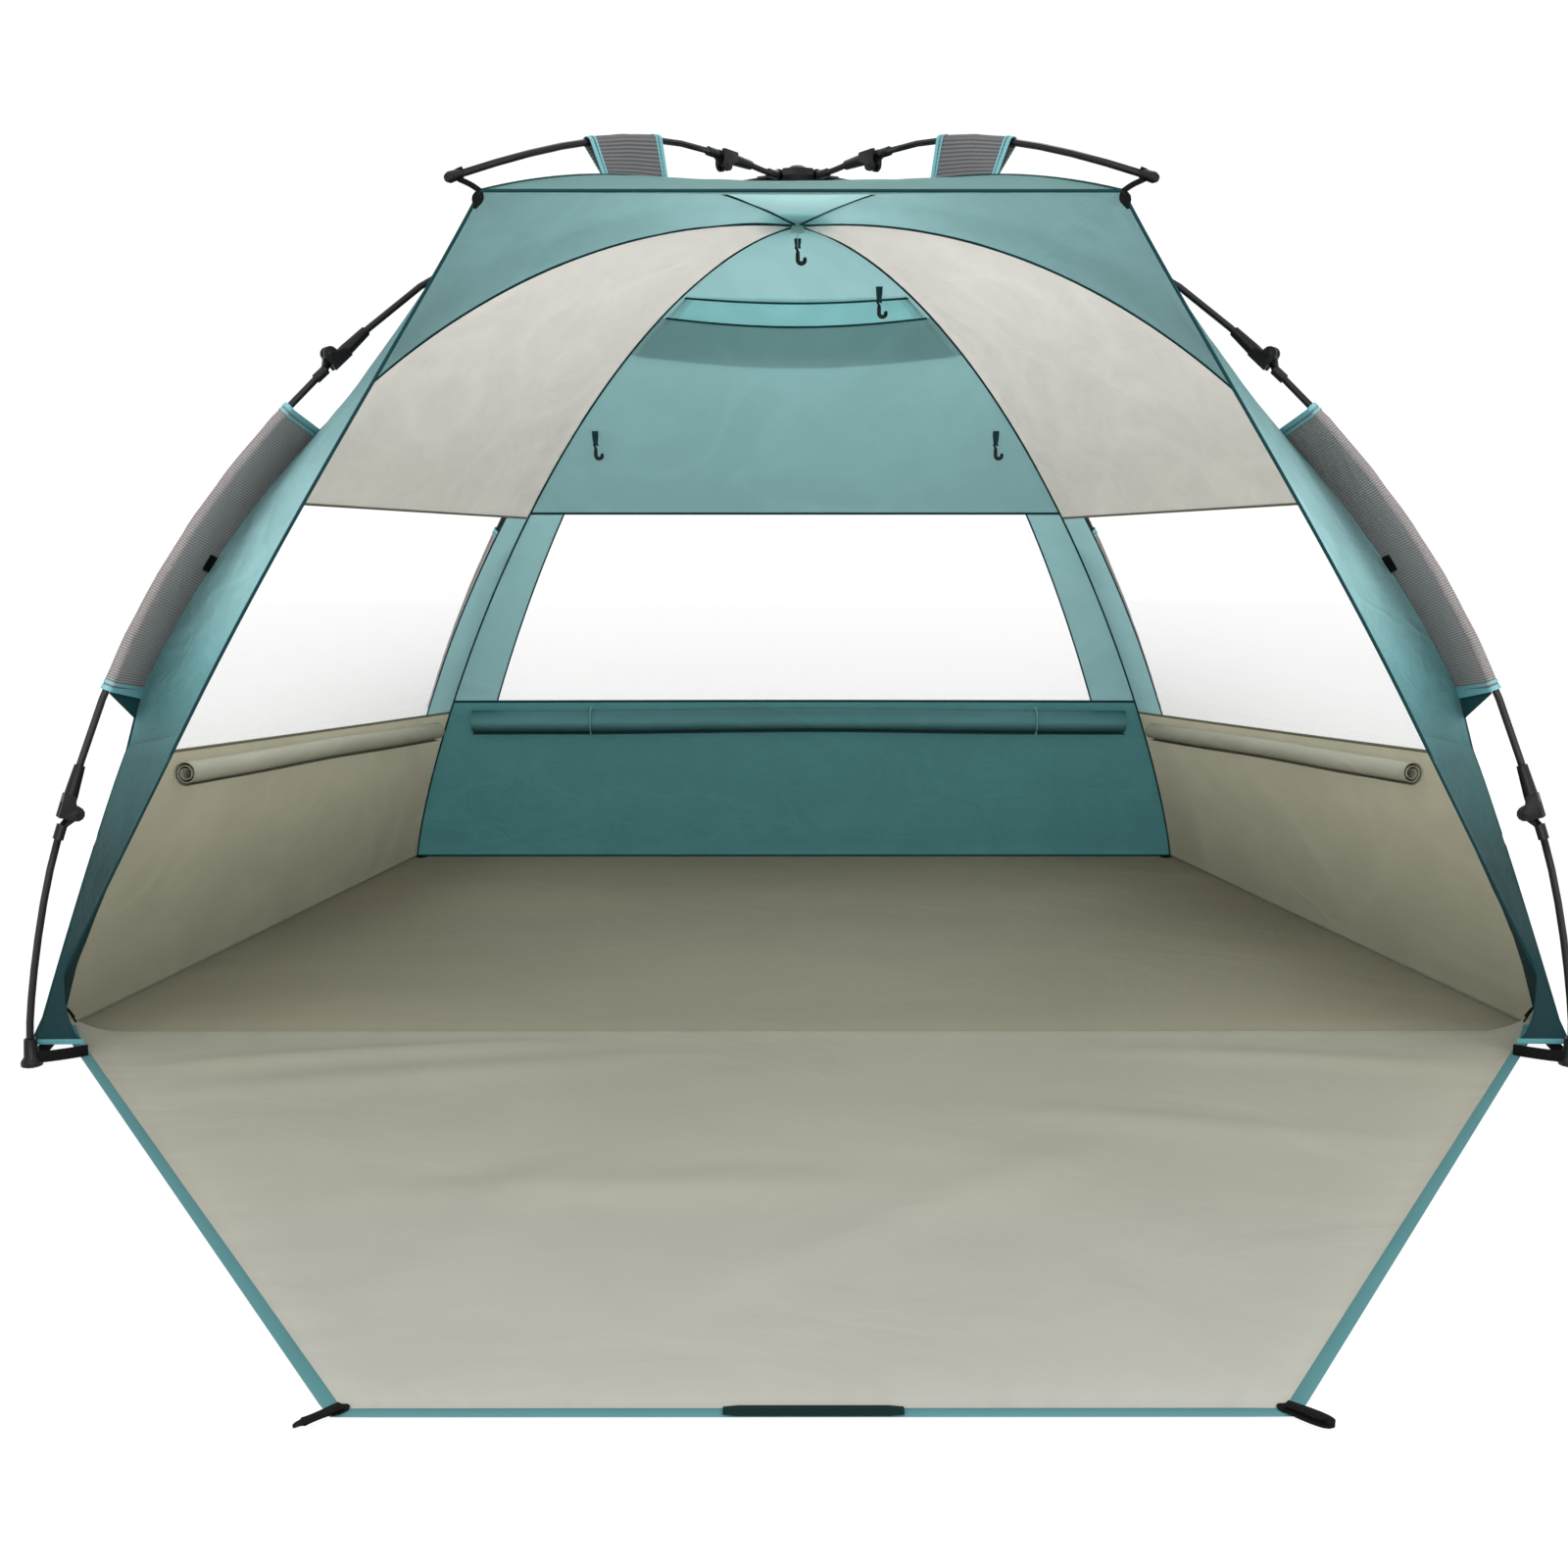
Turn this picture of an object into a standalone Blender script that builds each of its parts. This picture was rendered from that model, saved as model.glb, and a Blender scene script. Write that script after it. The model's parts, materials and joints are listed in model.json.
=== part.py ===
"""Pop-up beach tent: a hub with four folding legs and two awning arms outside a half dome of sewn panels.

+X is to the right seen from the doorway, +Y is to the back, +Z is up, and the origin is on the ground
under the hub. Lengths are metres.
"""

import math

import bmesh
import bpy
from mathutils import Matrix, Vector

# Driving sizes of the canopy
APEX_HEIGHT = 1.359
FLOOR_FRONT_HALF = 1.200
FLOOR_BACK_HALF = 0.929
THRESHOLD_AHEAD = 0.610
FLOOR_BACK_BEHIND = 0.812
FABRIC = 0.0025
NET = 0.0012
TOUCH = 0.0003
SEAM_INSET = 0.00065
HOOD_SEAM_INSET = 0.0002
CROWN_HOLE = 0.034
FRONT_ARCH_SHARES = (2.0, 0.6)
SKIRT_SHARE = 0.405
SKIRT_TOP = APEX_HEIGHT * SKIRT_SHARE
BACK_ARCH_SHARES = (1.7, 0.8)
BACK_BOW = 0.050

# Hood: its front corners, the rise of its seams and the bow of its free edges
HOOD_CORNER_HALF = 0.473
HOOD_CORNER_AHEAD = 0.650
HOOD_CORNER_DROP = 0.060
HOOD_CORNER_HEIGHT = APEX_HEIGHT - HOOD_CORNER_DROP
HOOD_SEAM_RISE = 0.050
HOOD_FOOT_INSET = 0.035
HOOD_FOOT_LEAD = 0.090
HOOD_FOOT_HALF = FLOOR_FRONT_HALF - HOOD_FOOT_INSET
HOOD_FOOT_AHEAD = THRESHOLD_AHEAD + HOOD_FOOT_LEAD
HOOD_EDGE_BOW = 0.250
HOOD_CORNER_SHARE = 0.36

# Windows, their rolled flaps and the roof vent
WINDOW_DROP = 0.529
WINDOW_TOP = APEX_HEIGHT - WINDOW_DROP
BACK_SILL = 0.387
SIDE_SILL_RISE = 0.060
BACK_WINDOW_SHARES = (0.064, 0.936)
SIDE_WINDOW_SHARES = (0.12, 0.89)
BACK_ROLL_RADIUS = 0.028
BACK_ROLL_SHARES = (0.030, 0.970)
SIDE_ROLL_RADIUS = 0.021
SIDE_ROLL_SHARES = (0.15, 0.92)
ROLL_DROP = 0.008
ROLL_CLEARANCE = 0.0006
VENT_DROP = 0.137
VENT_HEIGHT = 0.034
VENT_BOTTOM = APEX_HEIGHT - VENT_DROP
VENT_TOP = VENT_BOTTOM + VENT_HEIGHT
VENT_SHARES = (0.08, 0.92)
VENT_FLAP_LAP = 0.014
VENT_FLAP_LENGTH = 0.120
VENT_FLAP_TOP = VENT_TOP + VENT_FLAP_LAP
VENT_FLAP_BOTTOM = VENT_FLAP_TOP - VENT_FLAP_LENGTH
VENT_FLAP_STANDOFF = 0.034

# Porch and its peg tabs
PORCH_DEPTH = 1.150
PORCH_CORNER_INSET = 0.025
PORCH_BACK_HALF = FLOOR_FRONT_HALF - PORCH_CORNER_INSET
PORCH_FRONT_HALF = 0.437
PEG_TAB_LENGTH = 0.045
PEG_TAB_WIDTH = 0.014
ANCHOR_TAB_WIDTH = 0.025

# Frame: rods, hub and feet
ROD_RADIUS = 0.0055
POLE_RISE = 0.081
POLE_TOP = APEX_HEIGHT + POLE_RISE
FRONT_FOOT_INSET = 0.029
FRONT_FOOT_LEAD = 0.161
BACK_FOOT_OUT = 0.050
BACK_FOOT_LEAD = 0.044
FRONT_FOOT = (FLOOR_FRONT_HALF - FRONT_FOOT_INSET, THRESHOLD_AHEAD + FRONT_FOOT_LEAD)
BACK_FOOT = (FLOOR_BACK_HALF + BACK_FOOT_OUT, FLOOR_BACK_BEHIND + BACK_FOOT_LEAD)
POLE_OVERREACH = 0.003
FRONT_POLE_SHARES = (2.0, 0.585)
BACK_POLE_SHARES = (1.7, 0.8)
KNEE_SHARE = 0.632
ANKLE_SHARE = 0.948
LOWER_END_PULL = 0.35
HUB_RADIUS = 0.055
HUB_HALF_HEIGHT = 0.013
HUB_PIVOT_RADIUS = 0.042
HUB_ARM_TILT = math.radians(13)
HUB_SLOT_INNER = 0.027
HUB_STEM_RADIUS = 0.012
HUB_CAP_RADIUS = 0.021
HUB_CAP_HEIGHT = 0.013
CROWN_RADIUS = 0.0725
CROWN_LIFT = 0.021
CROWN_BOTTOM = APEX_HEIGHT + CROWN_LIFT
CROWN_THICKNESS = 0.006
FOOT_RADIUS = 0.016
FOOT_NECK_RADIUS = 0.011
FOOT_HEIGHT = 0.042
FOOT_FLANGE = 0.007
FOOT_BORE_FLOOR = 0.012

# Awning arms
ELBOW_OUT = 0.210
ELBOW_RISE = 0.008
ELBOW_HEIGHT = POLE_TOP + ELBOW_RISE
AWNING_TIP_OUT = 0.030
AWNING_TIP_BACK = 0.010
AWNING_TIP_RISE = 0.026
AWNING_TIP_HALF = HOOD_CORNER_HALF + AWNING_TIP_OUT
AWNING_TIP_AHEAD = HOOD_CORNER_AHEAD - AWNING_TIP_BACK
AWNING_TIP_HEIGHT = HOOD_CORNER_HEIGHT + AWNING_TIP_RISE
AWNING_BOW = 0.029
TIP_CAP_RADIUS = 0.0085
TIP_CAP_LENGTH = 0.030
TIP_CAP_WALL = 0.006

# Knuckle: a clevis socket and the tongue that turns in it
PIVOT_OFFSET = 0.014
PIN_RADIUS = 0.0022
EYE_RADIUS = 0.0085
TONGUE_HALF = 0.0036
SLOT_HALF = 0.0044
SOCKET_HALF = 0.0105
SOCKET_LENGTH = 0.072
SOCKET_BORE_END = 0.034
SOCKET_THIN_RADIUS = 0.0082
SOCKET_THICK_RADIUS = 0.0105
SOCKET_WEB_END = 0.026
SLOT_BACK = 0.0125
CHEEK_REACH = 0.0115
FERRULE_START = 0.021
FERRULE_END = 0.044
FERRULE_RADIUS = 0.0080
STUB = 0.078

# Mesh sleeves between a rod and its seam
SLEEVE_BORE = 0.0063
SLEEVE_OUTER = 0.0086
SLEEVE_WEB_HALF = 0.0014
SLEEVE_SEAM_GAP = 0.0155
FRONT_SLEEVE_HEIGHTS = (POLE_TOP * 0.692, POLE_TOP * 0.3924)
BACK_SLEEVE_HEIGHTS = (POLE_TOP * 0.5556, POLE_TOP * 0.2604)
AWNING_SLEEVE_SHARES = (0.46, 0.665)

# Hanging hooks
HOOK_WIRE = 0.0019
HOOK_RING = 0.0036
HOOK_SHANK = 0.022
HOOK_BEND = 0.0068
HOOK_TAB_WIDTH = 0.016
HOOK_TAB_HALF = 0.0008
HOOK_TAB_LENGTH = 0.030
HOOK_TAB_BAR = 0.0017
HOOK_TAB_WINDOW = 0.010
HOOK_TAB_SIDE = 0.0025
HOOK_SEAM_OFFSET = 0.040
SIDE_HOOK_DROP = 0.351
VENT_HOOK_RISE = 0.020

FINE = 12
OVERRUN = 0.004

UP = Vector((0, 0, 1))


def clear_scene():
    for item in list(bpy.data.objects):
        bpy.data.objects.remove(item)


def finish(name, colour, roughness, metallic=0.0):
    """A plain principled material."""
    material = bpy.data.materials.new(name)
    material.use_nodes = True
    shader = material.node_tree.nodes["Principled BSDF"]
    shader.inputs["Base Color"].default_value = (*colour, 1)
    shader.inputs["Roughness"].default_value = roughness
    shader.inputs["Metallic"].default_value = metallic
    return material


clear_scene()
TEAL = finish("teal_fabric", (0.27, 0.50, 0.51), 0.7)
SAND = finish("sand_fabric", (0.60, 0.58, 0.51), 0.7)
GROUNDSHEET = finish("groundsheet", (0.42, 0.41, 0.35), 0.6)
NETTING = finish("window_net", (0.85, 0.86, 0.86), 0.8)
SLEEVE_MESH = finish("sleeve_mesh", (0.16, 0.16, 0.16), 0.8)
BLACK_ROD = finish("black_rod", (0.03, 0.03, 0.032), 0.35)
BLACK_PLASTIC = finish("black_plastic", (0.02, 0.02, 0.022), 0.45)


def add_object(name, data, material, parent=None):
    """A node whose geometry is in world space, hung on the empty that carries it."""
    item = bpy.data.objects.new(name, data)
    bpy.context.collection.objects.link(item)
    if item.type == "MESH":
        data.materials.clear()
    data.materials.append(material)
    if parent is not None:
        item.parent = parent
        item.matrix_parent_inverse = Matrix.Translation(-Vector(parent["place"]))
    return item


def pivot(name, place, parent=None):
    """An empty on a joint's axis, which remembers its own world place."""
    empty = bpy.data.objects.new(name, None)
    bpy.context.collection.objects.link(empty)
    empty.location = place if parent is None else place - Vector(parent["place"])
    empty.parent = parent
    empty["place"] = tuple(place)
    return empty


def mesh_from(bm, name):
    data = bpy.data.meshes.new(name)
    bmesh.ops.recalc_face_normals(bm, faces=bm.faces)
    bm.to_mesh(data)
    bm.free()
    return data


def helper(name, data):
    """A cutter or a piece to join, which isn't a part of the tent itself."""
    item = bpy.data.objects.new(name, data)
    bpy.context.collection.objects.link(item)
    item.hide_render = True
    item.display_type = "WIRE"
    return item


def boolean(item, operation, other):
    modifier = item.modifiers.new(other.name, "BOOLEAN")
    modifier.operation = operation
    modifier.solver = "EXACT"
    modifier.object = other


def shade(data, angle=math.radians(40)):
    data.shade_smooth()
    data.set_sharp_from_angle(angle=angle)


# Lines that the canopy and the frame share


def arch_height(share, top, shares):
    return top * (1 - min(share, 1) ** shares[0]) ** shares[1]


def arch_share(height, top, shares):
    return (1 - (height / top) ** (1 / shares[1])) ** (1 / shares[0])


def front_seam(side, share):
    """The front seam, which runs straight to the ground below the skirt's top."""
    skirt = arch_share(SKIRT_TOP, APEX_HEIGHT, FRONT_ARCH_SHARES)
    if share > skirt:
        height = SKIRT_TOP * (1 - (min(share, 1) - skirt) / (1 - skirt))
    else:
        height = arch_height(share, APEX_HEIGHT, FRONT_ARCH_SHARES)
    return Vector((side * FLOOR_FRONT_HALF * share, -THRESHOLD_AHEAD * share, height))


def back_seam(side, share):
    height = arch_height(share, APEX_HEIGHT, BACK_ARCH_SHARES)
    return Vector((side * FLOOR_BACK_HALF * share, FLOOR_BACK_BEHIND * share, height))


def front_seam_at(side, height):
    share = arch_share(max(height, SKIRT_TOP), APEX_HEIGHT, FRONT_ARCH_SHARES)
    if height < SKIRT_TOP:
        share += (1 - share) * (1 - height / SKIRT_TOP)
    return front_seam(side, share)


def back_seam_at(side, height):
    return back_seam(side, arch_share(height, APEX_HEIGHT, BACK_ARCH_SHARES))


def hood_seam(side, share):
    rise = 4 * HOOD_SEAM_RISE * share * (1 - share)
    height = APEX_HEIGHT + (HOOD_CORNER_HEIGHT - APEX_HEIGHT) * share + rise
    return Vector((side * HOOD_CORNER_HALF * share, -HOOD_CORNER_AHEAD * share, height))


def hood_edge(side, share):
    """The hood's free edge, from its front corner down to the ground."""
    corner = hood_seam(side, 1)
    foot = Vector((side * HOOD_FOOT_HALF, -HOOD_FOOT_AHEAD, FABRIC + TOUCH))
    bow = Vector((side * HOOD_EDGE_BOW * share**1.5 * (1 - share), 0, 0))
    return corner.lerp(foot, share) + bow


def between(start, end, share, first_inset=SEAM_INSET, last_inset=SEAM_INSET):
    """A point on the straight line between two seams, which stops short of each."""
    along = (end - start).normalized()
    return (start + along * first_inset).lerp(end - along * last_inset, share)


def side_wall_point(side, share, height):
    return between(front_seam_at(side, height), back_seam_at(side, height), share)


def sagging_wall_point(side, share, level):
    """A point on a side wall whose level rows rise towards the doorway about the sill."""
    tilt = max(0, 1 - abs(level - BACK_SILL) / (WINDOW_TOP - BACK_SILL))
    return side_wall_point(side, share, level + SIDE_SILL_RISE * tilt * (1 - share))


def back_wall_point(share, height):
    point = between(back_seam_at(-1, height), back_seam_at(1, height), share)
    point.y += BACK_BOW * math.sin(math.pi * share) * height / APEX_HEIGHT
    return point


# Sewn panels


def spread(start, end, steps):
    return [start + (end - start) * n / steps for n in range(steps + 1)]


def sheet(name, columns, rows, place, material, thickness=FABRIC, open_cell=None, parent=None):
    """A curved panel: a grid laid on place(column, row), given its thickness on the outer side."""
    bm = bmesh.new()
    bmesh.ops.create_grid(bm, x_segments=len(columns) - 1, y_segments=len(rows) - 1, size=1)
    wide = {round(v.co.x, 4) for v in bm.verts}
    tall = {round(v.co.y, 4) for v in bm.verts}
    column_of = dict(zip(sorted(wide), columns, strict=True))
    row_of = dict(zip(sorted(tall), rows, strict=True))
    if open_cell is not None:
        gone = []
        for face in bm.faces:
            cell_columns = [column_of[round(v.co.x, 4)] for v in face.verts]
            cell_rows = [row_of[round(v.co.y, 4)] for v in face.verts]
            if open_cell((min(cell_columns) + max(cell_columns)) / 2, (min(cell_rows) + max(cell_rows)) / 2):
                gone.append(face)
        bmesh.ops.delete(bm, geom=gone, context="FACES")
    for v in bm.verts:
        v.co = place(column_of[round(v.co.x, 4)], row_of[round(v.co.y, 4)])
    bm.normal_update()
    middle = Vector((0, 0, APEX_HEIGHT / 4))
    outward = sum(face.normal.dot(face.calc_center_median() - middle) * face.calc_area() for face in bm.faces)
    if outward < 0:
        bmesh.ops.reverse_faces(bm, faces=bm.faces)
    data = bpy.data.meshes.new(name)
    bm.to_mesh(data)
    bm.free()
    shade(data)
    item = add_object(name, data, material, parent)
    solid = item.modifiers.new("thickness", "SOLIDIFY")
    solid.thickness = thickness
    solid.offset = 1
    solid.use_even_offset = False
    return item


WALL_FOOT = FABRIC + TOUCH
CROWN_SHARE_STEPS = (0.78, 0.52, 0.27)
LOW_HEIGHTS = (WALL_FOOT, 0.13, 0.26)
HIGH_HEIGHTS = tuple(WINDOW_TOP + (VENT_BOTTOM - WINDOW_TOP) * step for step in (0.28, 0.54, 0.77))


def crown_rows(first_share, hole):
    """Rows from the last level row up to the hole at the crown, as shares of the seam's reach."""
    last = hole
    return [last + (first_share - last) * step for step in CROWN_SHARE_STEPS] + [last]


def side_wall(side, name):
    split = VENT_TOP
    front_split = arch_share(split, APEX_HEIGHT, FRONT_ARCH_SHARES)
    back_split = arch_share(split, APEX_HEIGHT, BACK_ARCH_SHARES)
    front_rows = crown_rows(front_split, CROWN_HOLE / FLOOR_FRONT_HALF)
    back_rows = crown_rows(back_split, CROWN_HOLE / FLOOR_FRONT_HALF)
    levels = [*LOW_HEIGHTS, BACK_SILL, *spread(BACK_SILL, WINDOW_TOP, 4)[1:], *HIGH_HEIGHTS, split]
    rows = levels + [10 + n for n in range(len(front_rows))]

    def place(column, row):
        if row >= 10:
            n = int(row) - 10
            return between(front_seam(side, front_rows[n]), back_seam(side, back_rows[n]), column)
        return sagging_wall_point(side, column, row)

    def is_window(column, row):
        inside = SIDE_WINDOW_SHARES[0] < column < SIDE_WINDOW_SHARES[1]
        return inside and BACK_SILL < row < WINDOW_TOP

    columns = [0, *spread(*SIDE_WINDOW_SHARES, 5), 1]
    wall = sheet(f"side_wall_{name}", columns, rows, place, SAND, open_cell=is_window)
    inset = TOUCH / FLOOR_BACK_BEHIND
    net_columns = spread(SIDE_WINDOW_SHARES[0] + inset, SIDE_WINDOW_SHARES[1] - inset, 5)
    net_rows = spread(BACK_SILL + TOUCH, WINDOW_TOP - TOUCH, 4)
    sheet(f"side_window_net_{name}", net_columns, net_rows, place, NETTING, thickness=NET)
    return wall


def back_wall():
    split = VENT_TOP
    back_split = arch_share(split, APEX_HEIGHT, BACK_ARCH_SHARES)
    crown = crown_rows(back_split, CROWN_HOLE / FLOOR_FRONT_HALF)
    levels = [*LOW_HEIGHTS, BACK_SILL, *spread(BACK_SILL, WINDOW_TOP, 4)[1:], *HIGH_HEIGHTS]
    rows = levels + [VENT_BOTTOM, VENT_TOP] + [10 + n for n in range(len(crown))]

    def place(column, row):
        if row >= 10:
            share = crown[int(row) - 10]
            point = between(back_seam(-1, share), back_seam(1, share), column)
            point.y += BACK_BOW * math.sin(math.pi * column) * (share / back_split) ** 2
            return point
        return back_wall_point(column, row)

    def is_open(column, row):
        if not BACK_WINDOW_SHARES[0] < column < BACK_WINDOW_SHARES[1]:
            return False
        return BACK_SILL < row < WINDOW_TOP or VENT_BOTTOM < row < VENT_TOP

    columns = [0, *spread(*BACK_WINDOW_SHARES, 6), 1]
    wall = sheet("back_wall", columns, rows, place, TEAL, open_cell=is_open)
    inset = TOUCH / FLOOR_BACK_BEHIND
    net_columns = spread(BACK_WINDOW_SHARES[0] + inset, BACK_WINDOW_SHARES[1] - inset, 6)
    net_rows = spread(BACK_SILL + TOUCH, WINDOW_TOP - TOUCH, 4)
    sheet("back_window_net", net_columns, net_rows, back_wall_point, NETTING, thickness=NET)
    return wall


def vent_flap():
    """The rain cover over the roof vent, held off the wall along its lower edge."""

    def place(column, row):
        height = VENT_FLAP_TOP + (VENT_FLAP_BOTTOM - VENT_FLAP_TOP) * row
        point = back_wall_point(column, height)
        below = back_wall_point(column, height - FABRIC)
        along = (below - point).normalized()
        across = back_wall_point(column + 0.01, height) - back_wall_point(column - 0.01, height)
        out = along.cross(across.normalized())
        if out.z < 0:
            out.negate()
        crown_of_sides = math.sin(math.pi * (column - VENT_SHARES[0]) / (VENT_SHARES[1] - VENT_SHARES[0]))
        stand = FABRIC + TOUCH + VENT_FLAP_STANDOFF * row * (0.25 + 0.75 * crown_of_sides)
        return point + out.normalized() * stand

    sheet("vent_flap", spread(*VENT_SHARES, 8), spread(0, 1, 3), place, TEAL)


def hood():
    sweep = math.asin(CROWN_HOLE / FLOOR_FRONT_HALF)

    def roof_place(column, row):
        return between(hood_seam(-1, row), hood_seam(1, row), column, HOOD_SEAM_INSET, HOOD_SEAM_INSET)

    sheet("hood_roof", spread(0, 1, 6), spread(CROWN_HOLE / HOOD_CORNER_AHEAD, 1, 6), roof_place, TEAL)
    for side, name in ((-1, "left"), (1, "right")):

        def gusset_place(column, row, side=side):
            rear = front_seam(side, math.sin(sweep + (math.pi / 2 - sweep) * row))
            rear.z = max(rear.z, WALL_FOOT)
            if row <= HOOD_CORNER_SHARE:
                first = CROWN_HOLE / HOOD_CORNER_AHEAD
                front = hood_seam(side, first + (1 - first) * row / HOOD_CORNER_SHARE)
            else:
                front = hood_edge(side, (row - HOOD_CORNER_SHARE) / (1 - HOOD_CORNER_SHARE))
            return between(rear, front, column, last_inset=HOOD_SEAM_INSET)

        rows = spread(0, HOOD_CORNER_SHARE, 5) + spread(HOOD_CORNER_SHARE, 1, 9)[1:]
        sheet(f"hood_side_{name}", spread(0, 1, 4), rows, gusset_place, TEAL)


# Flat ground pieces


def flat_piece(name, outline, material, parent=None):
    bm = bmesh.new()
    face = bm.faces.new([bm.verts.new((x, y, 0)) for x, y in outline])
    raised = bmesh.ops.extrude_face_region(bm, geom=[face])
    top = [part for part in raised["geom"] if isinstance(part, bmesh.types.BMVert)]
    bmesh.ops.translate(bm, verts=top, vec=UP * FABRIC)
    return add_object(name, mesh_from(bm, name), material, parent)


def tab_outline(corner, target, width, stop):
    """Four points of a webbing tab that leaves a corner towards a target and stops short of it."""
    corner = Vector(corner)
    along = (Vector(target) - corner).normalized()
    across = Vector((-along.y, along.x)) * width / 2
    end = Vector(target) - along * stop
    return [corner - across, end - across, end + across, corner + across]


def floor():
    stop = FOOT_RADIUS + TOUCH
    corners = (
        ((-FLOOR_FRONT_HALF, -THRESHOLD_AHEAD + TOUCH), (-FRONT_FOOT[0], -FRONT_FOOT[1])),
        ((FLOOR_FRONT_HALF, -THRESHOLD_AHEAD + TOUCH), (FRONT_FOOT[0], -FRONT_FOOT[1])),
        ((FLOOR_BACK_HALF, FLOOR_BACK_BEHIND), BACK_FOOT),
        ((-FLOOR_BACK_HALF, FLOOR_BACK_BEHIND), (-BACK_FOOT[0], BACK_FOOT[1])),
    )
    outline = []
    for corner, foot in corners:
        tab = tab_outline(corner, foot, ANCHOR_TAB_WIDTH, stop)
        for base in (tab[0], tab[-1]):
            base.y = corner[1]
        outline += tab
    flat_piece("groundsheet", outline, GROUNDSHEET)


def porch():
    hinge = pivot("porch_hinge", Vector((0, -THRESHOLD_AHEAD, FABRIC)))
    back = -THRESHOLD_AHEAD - TOUCH
    front = back - PORCH_DEPTH
    reach = PEG_TAB_LENGTH / math.sqrt(2)
    outline = [(PORCH_BACK_HALF, back), (-PORCH_BACK_HALF, back)]
    for side in (-1, 1):
        corner = (side * PORCH_FRONT_HALF, front)
        target = (side * (PORCH_FRONT_HALF + reach), front - reach)
        outline += tab_outline(corner, target, PEG_TAB_WIDTH, 0)
    flat_piece("porch", outline, SAND, hinge)


def roll(name, place, shares, radius, material):
    """A window flap rolled up against the wall's inner face, just below its sill."""
    points = []
    for share in spread(*shares, 8):
        sill = place(share, BACK_SILL)
        here = place(share, BACK_SILL - radius - ROLL_DROP)
        aside = place(share + SEAM_INSET, BACK_SILL - radius - ROLL_DROP) - here
        inward = aside.cross(sill - here).normalized()
        if inward.dot(here - UP * here.z) > 0:
            inward.negate()
        points.append(here + inward * (radius + ROLL_CLEARANCE))
    curve = poly_curve(name, points, radius, 2)
    add_object(name, curve, material)


def poly_curve(name, points, radius, resolution):
    """A round bar through the points, with closed ends."""
    curve = bpy.data.curves.new(name, "CURVE")
    curve.dimensions = "3D"
    curve.bevel_depth = radius
    curve.bevel_resolution = resolution
    curve.use_fill_caps = True
    spline = curve.splines.new("POLY")
    spline.points.add(len(points) - 1)
    for knot, point in zip(spline.points, points, strict=True):
        knot.co = (*point, 1)
    return curve


def rolled_flaps():
    roll("back_rolled_flap", back_wall_point, BACK_ROLL_SHARES, BACK_ROLL_RADIUS, TEAL)
    for side, name in ((-1, "left"), (1, "right")):

        def place(share, height, side=side):
            return sagging_wall_point(side, share, height)

        roll(f"side_rolled_flap_{name}", place, SIDE_ROLL_SHARES, SIDE_ROLL_RADIUS, SAND)


# Knuckles, in their own frame: +X along the rod away from the socket, +Y to the pivot's side


def turned(profile, matrix=None, segments=FINE):
    """A round body whose profile of (along, radius) points closes on the X axis."""
    bm = bmesh.new()
    ring = [bm.verts.new((along, radius, 0)) for along, radius in profile]
    edges = [bm.edges.new(pair) for pair in zip(ring, ring[1:])]
    bmesh.ops.spin(
        bm, geom=ring + edges, axis=(1, 0, 0), cent=(0, 0, 0), angle=2 * math.pi, steps=segments, use_merge=True
    )
    bmesh.ops.remove_doubles(bm, verts=bm.verts, dist=TOUCH / 10)
    if matrix is not None:
        bmesh.ops.transform(bm, matrix=matrix, verts=bm.verts)
    return bm


def plate(outline, half):
    """A flat plate with its outline in the X-Y plane, half thick to each side."""
    bm = bmesh.new()
    face = bm.faces.new([bm.verts.new((x, y, -half)) for x, y in outline])
    raised = bmesh.ops.extrude_face_region(bm, geom=[face])
    top = [part for part in raised["geom"] if isinstance(part, bmesh.types.BMVert)]
    bmesh.ops.translate(bm, verts=top, vec=UP * half * 2)
    return bm


def arc_points(centre, radius, start, end, steps):
    angles = spread(math.radians(start), math.radians(end), steps)
    return [(centre[0] + radius * math.cos(a), centre[1] + radius * math.sin(a)) for a in angles]


def cross_pin(radius, half, centre, segments=8):
    bm = bmesh.new()
    place = Matrix.Translation((*centre, 0))
    bmesh.ops.create_cone(
        bm, cap_ends=True, segments=segments, radius1=radius, radius2=radius, depth=half * 2, matrix=place
    )
    return bm


def evaluated_mesh(item, name):
    """The mesh that an object's modifiers make, kept as a mesh of its own; the object and its helpers go."""
    bpy.context.view_layer.update()
    graph = bpy.context.evaluated_depsgraph_get()
    data = bpy.data.meshes.new_from_object(item.evaluated_get(graph))
    data.name = name
    for modifier in item.modifiers:
        if modifier.type == "BOOLEAN":
            bpy.data.objects.remove(modifier.object)
    bpy.data.objects.remove(item)
    shade(data)
    return data


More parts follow.
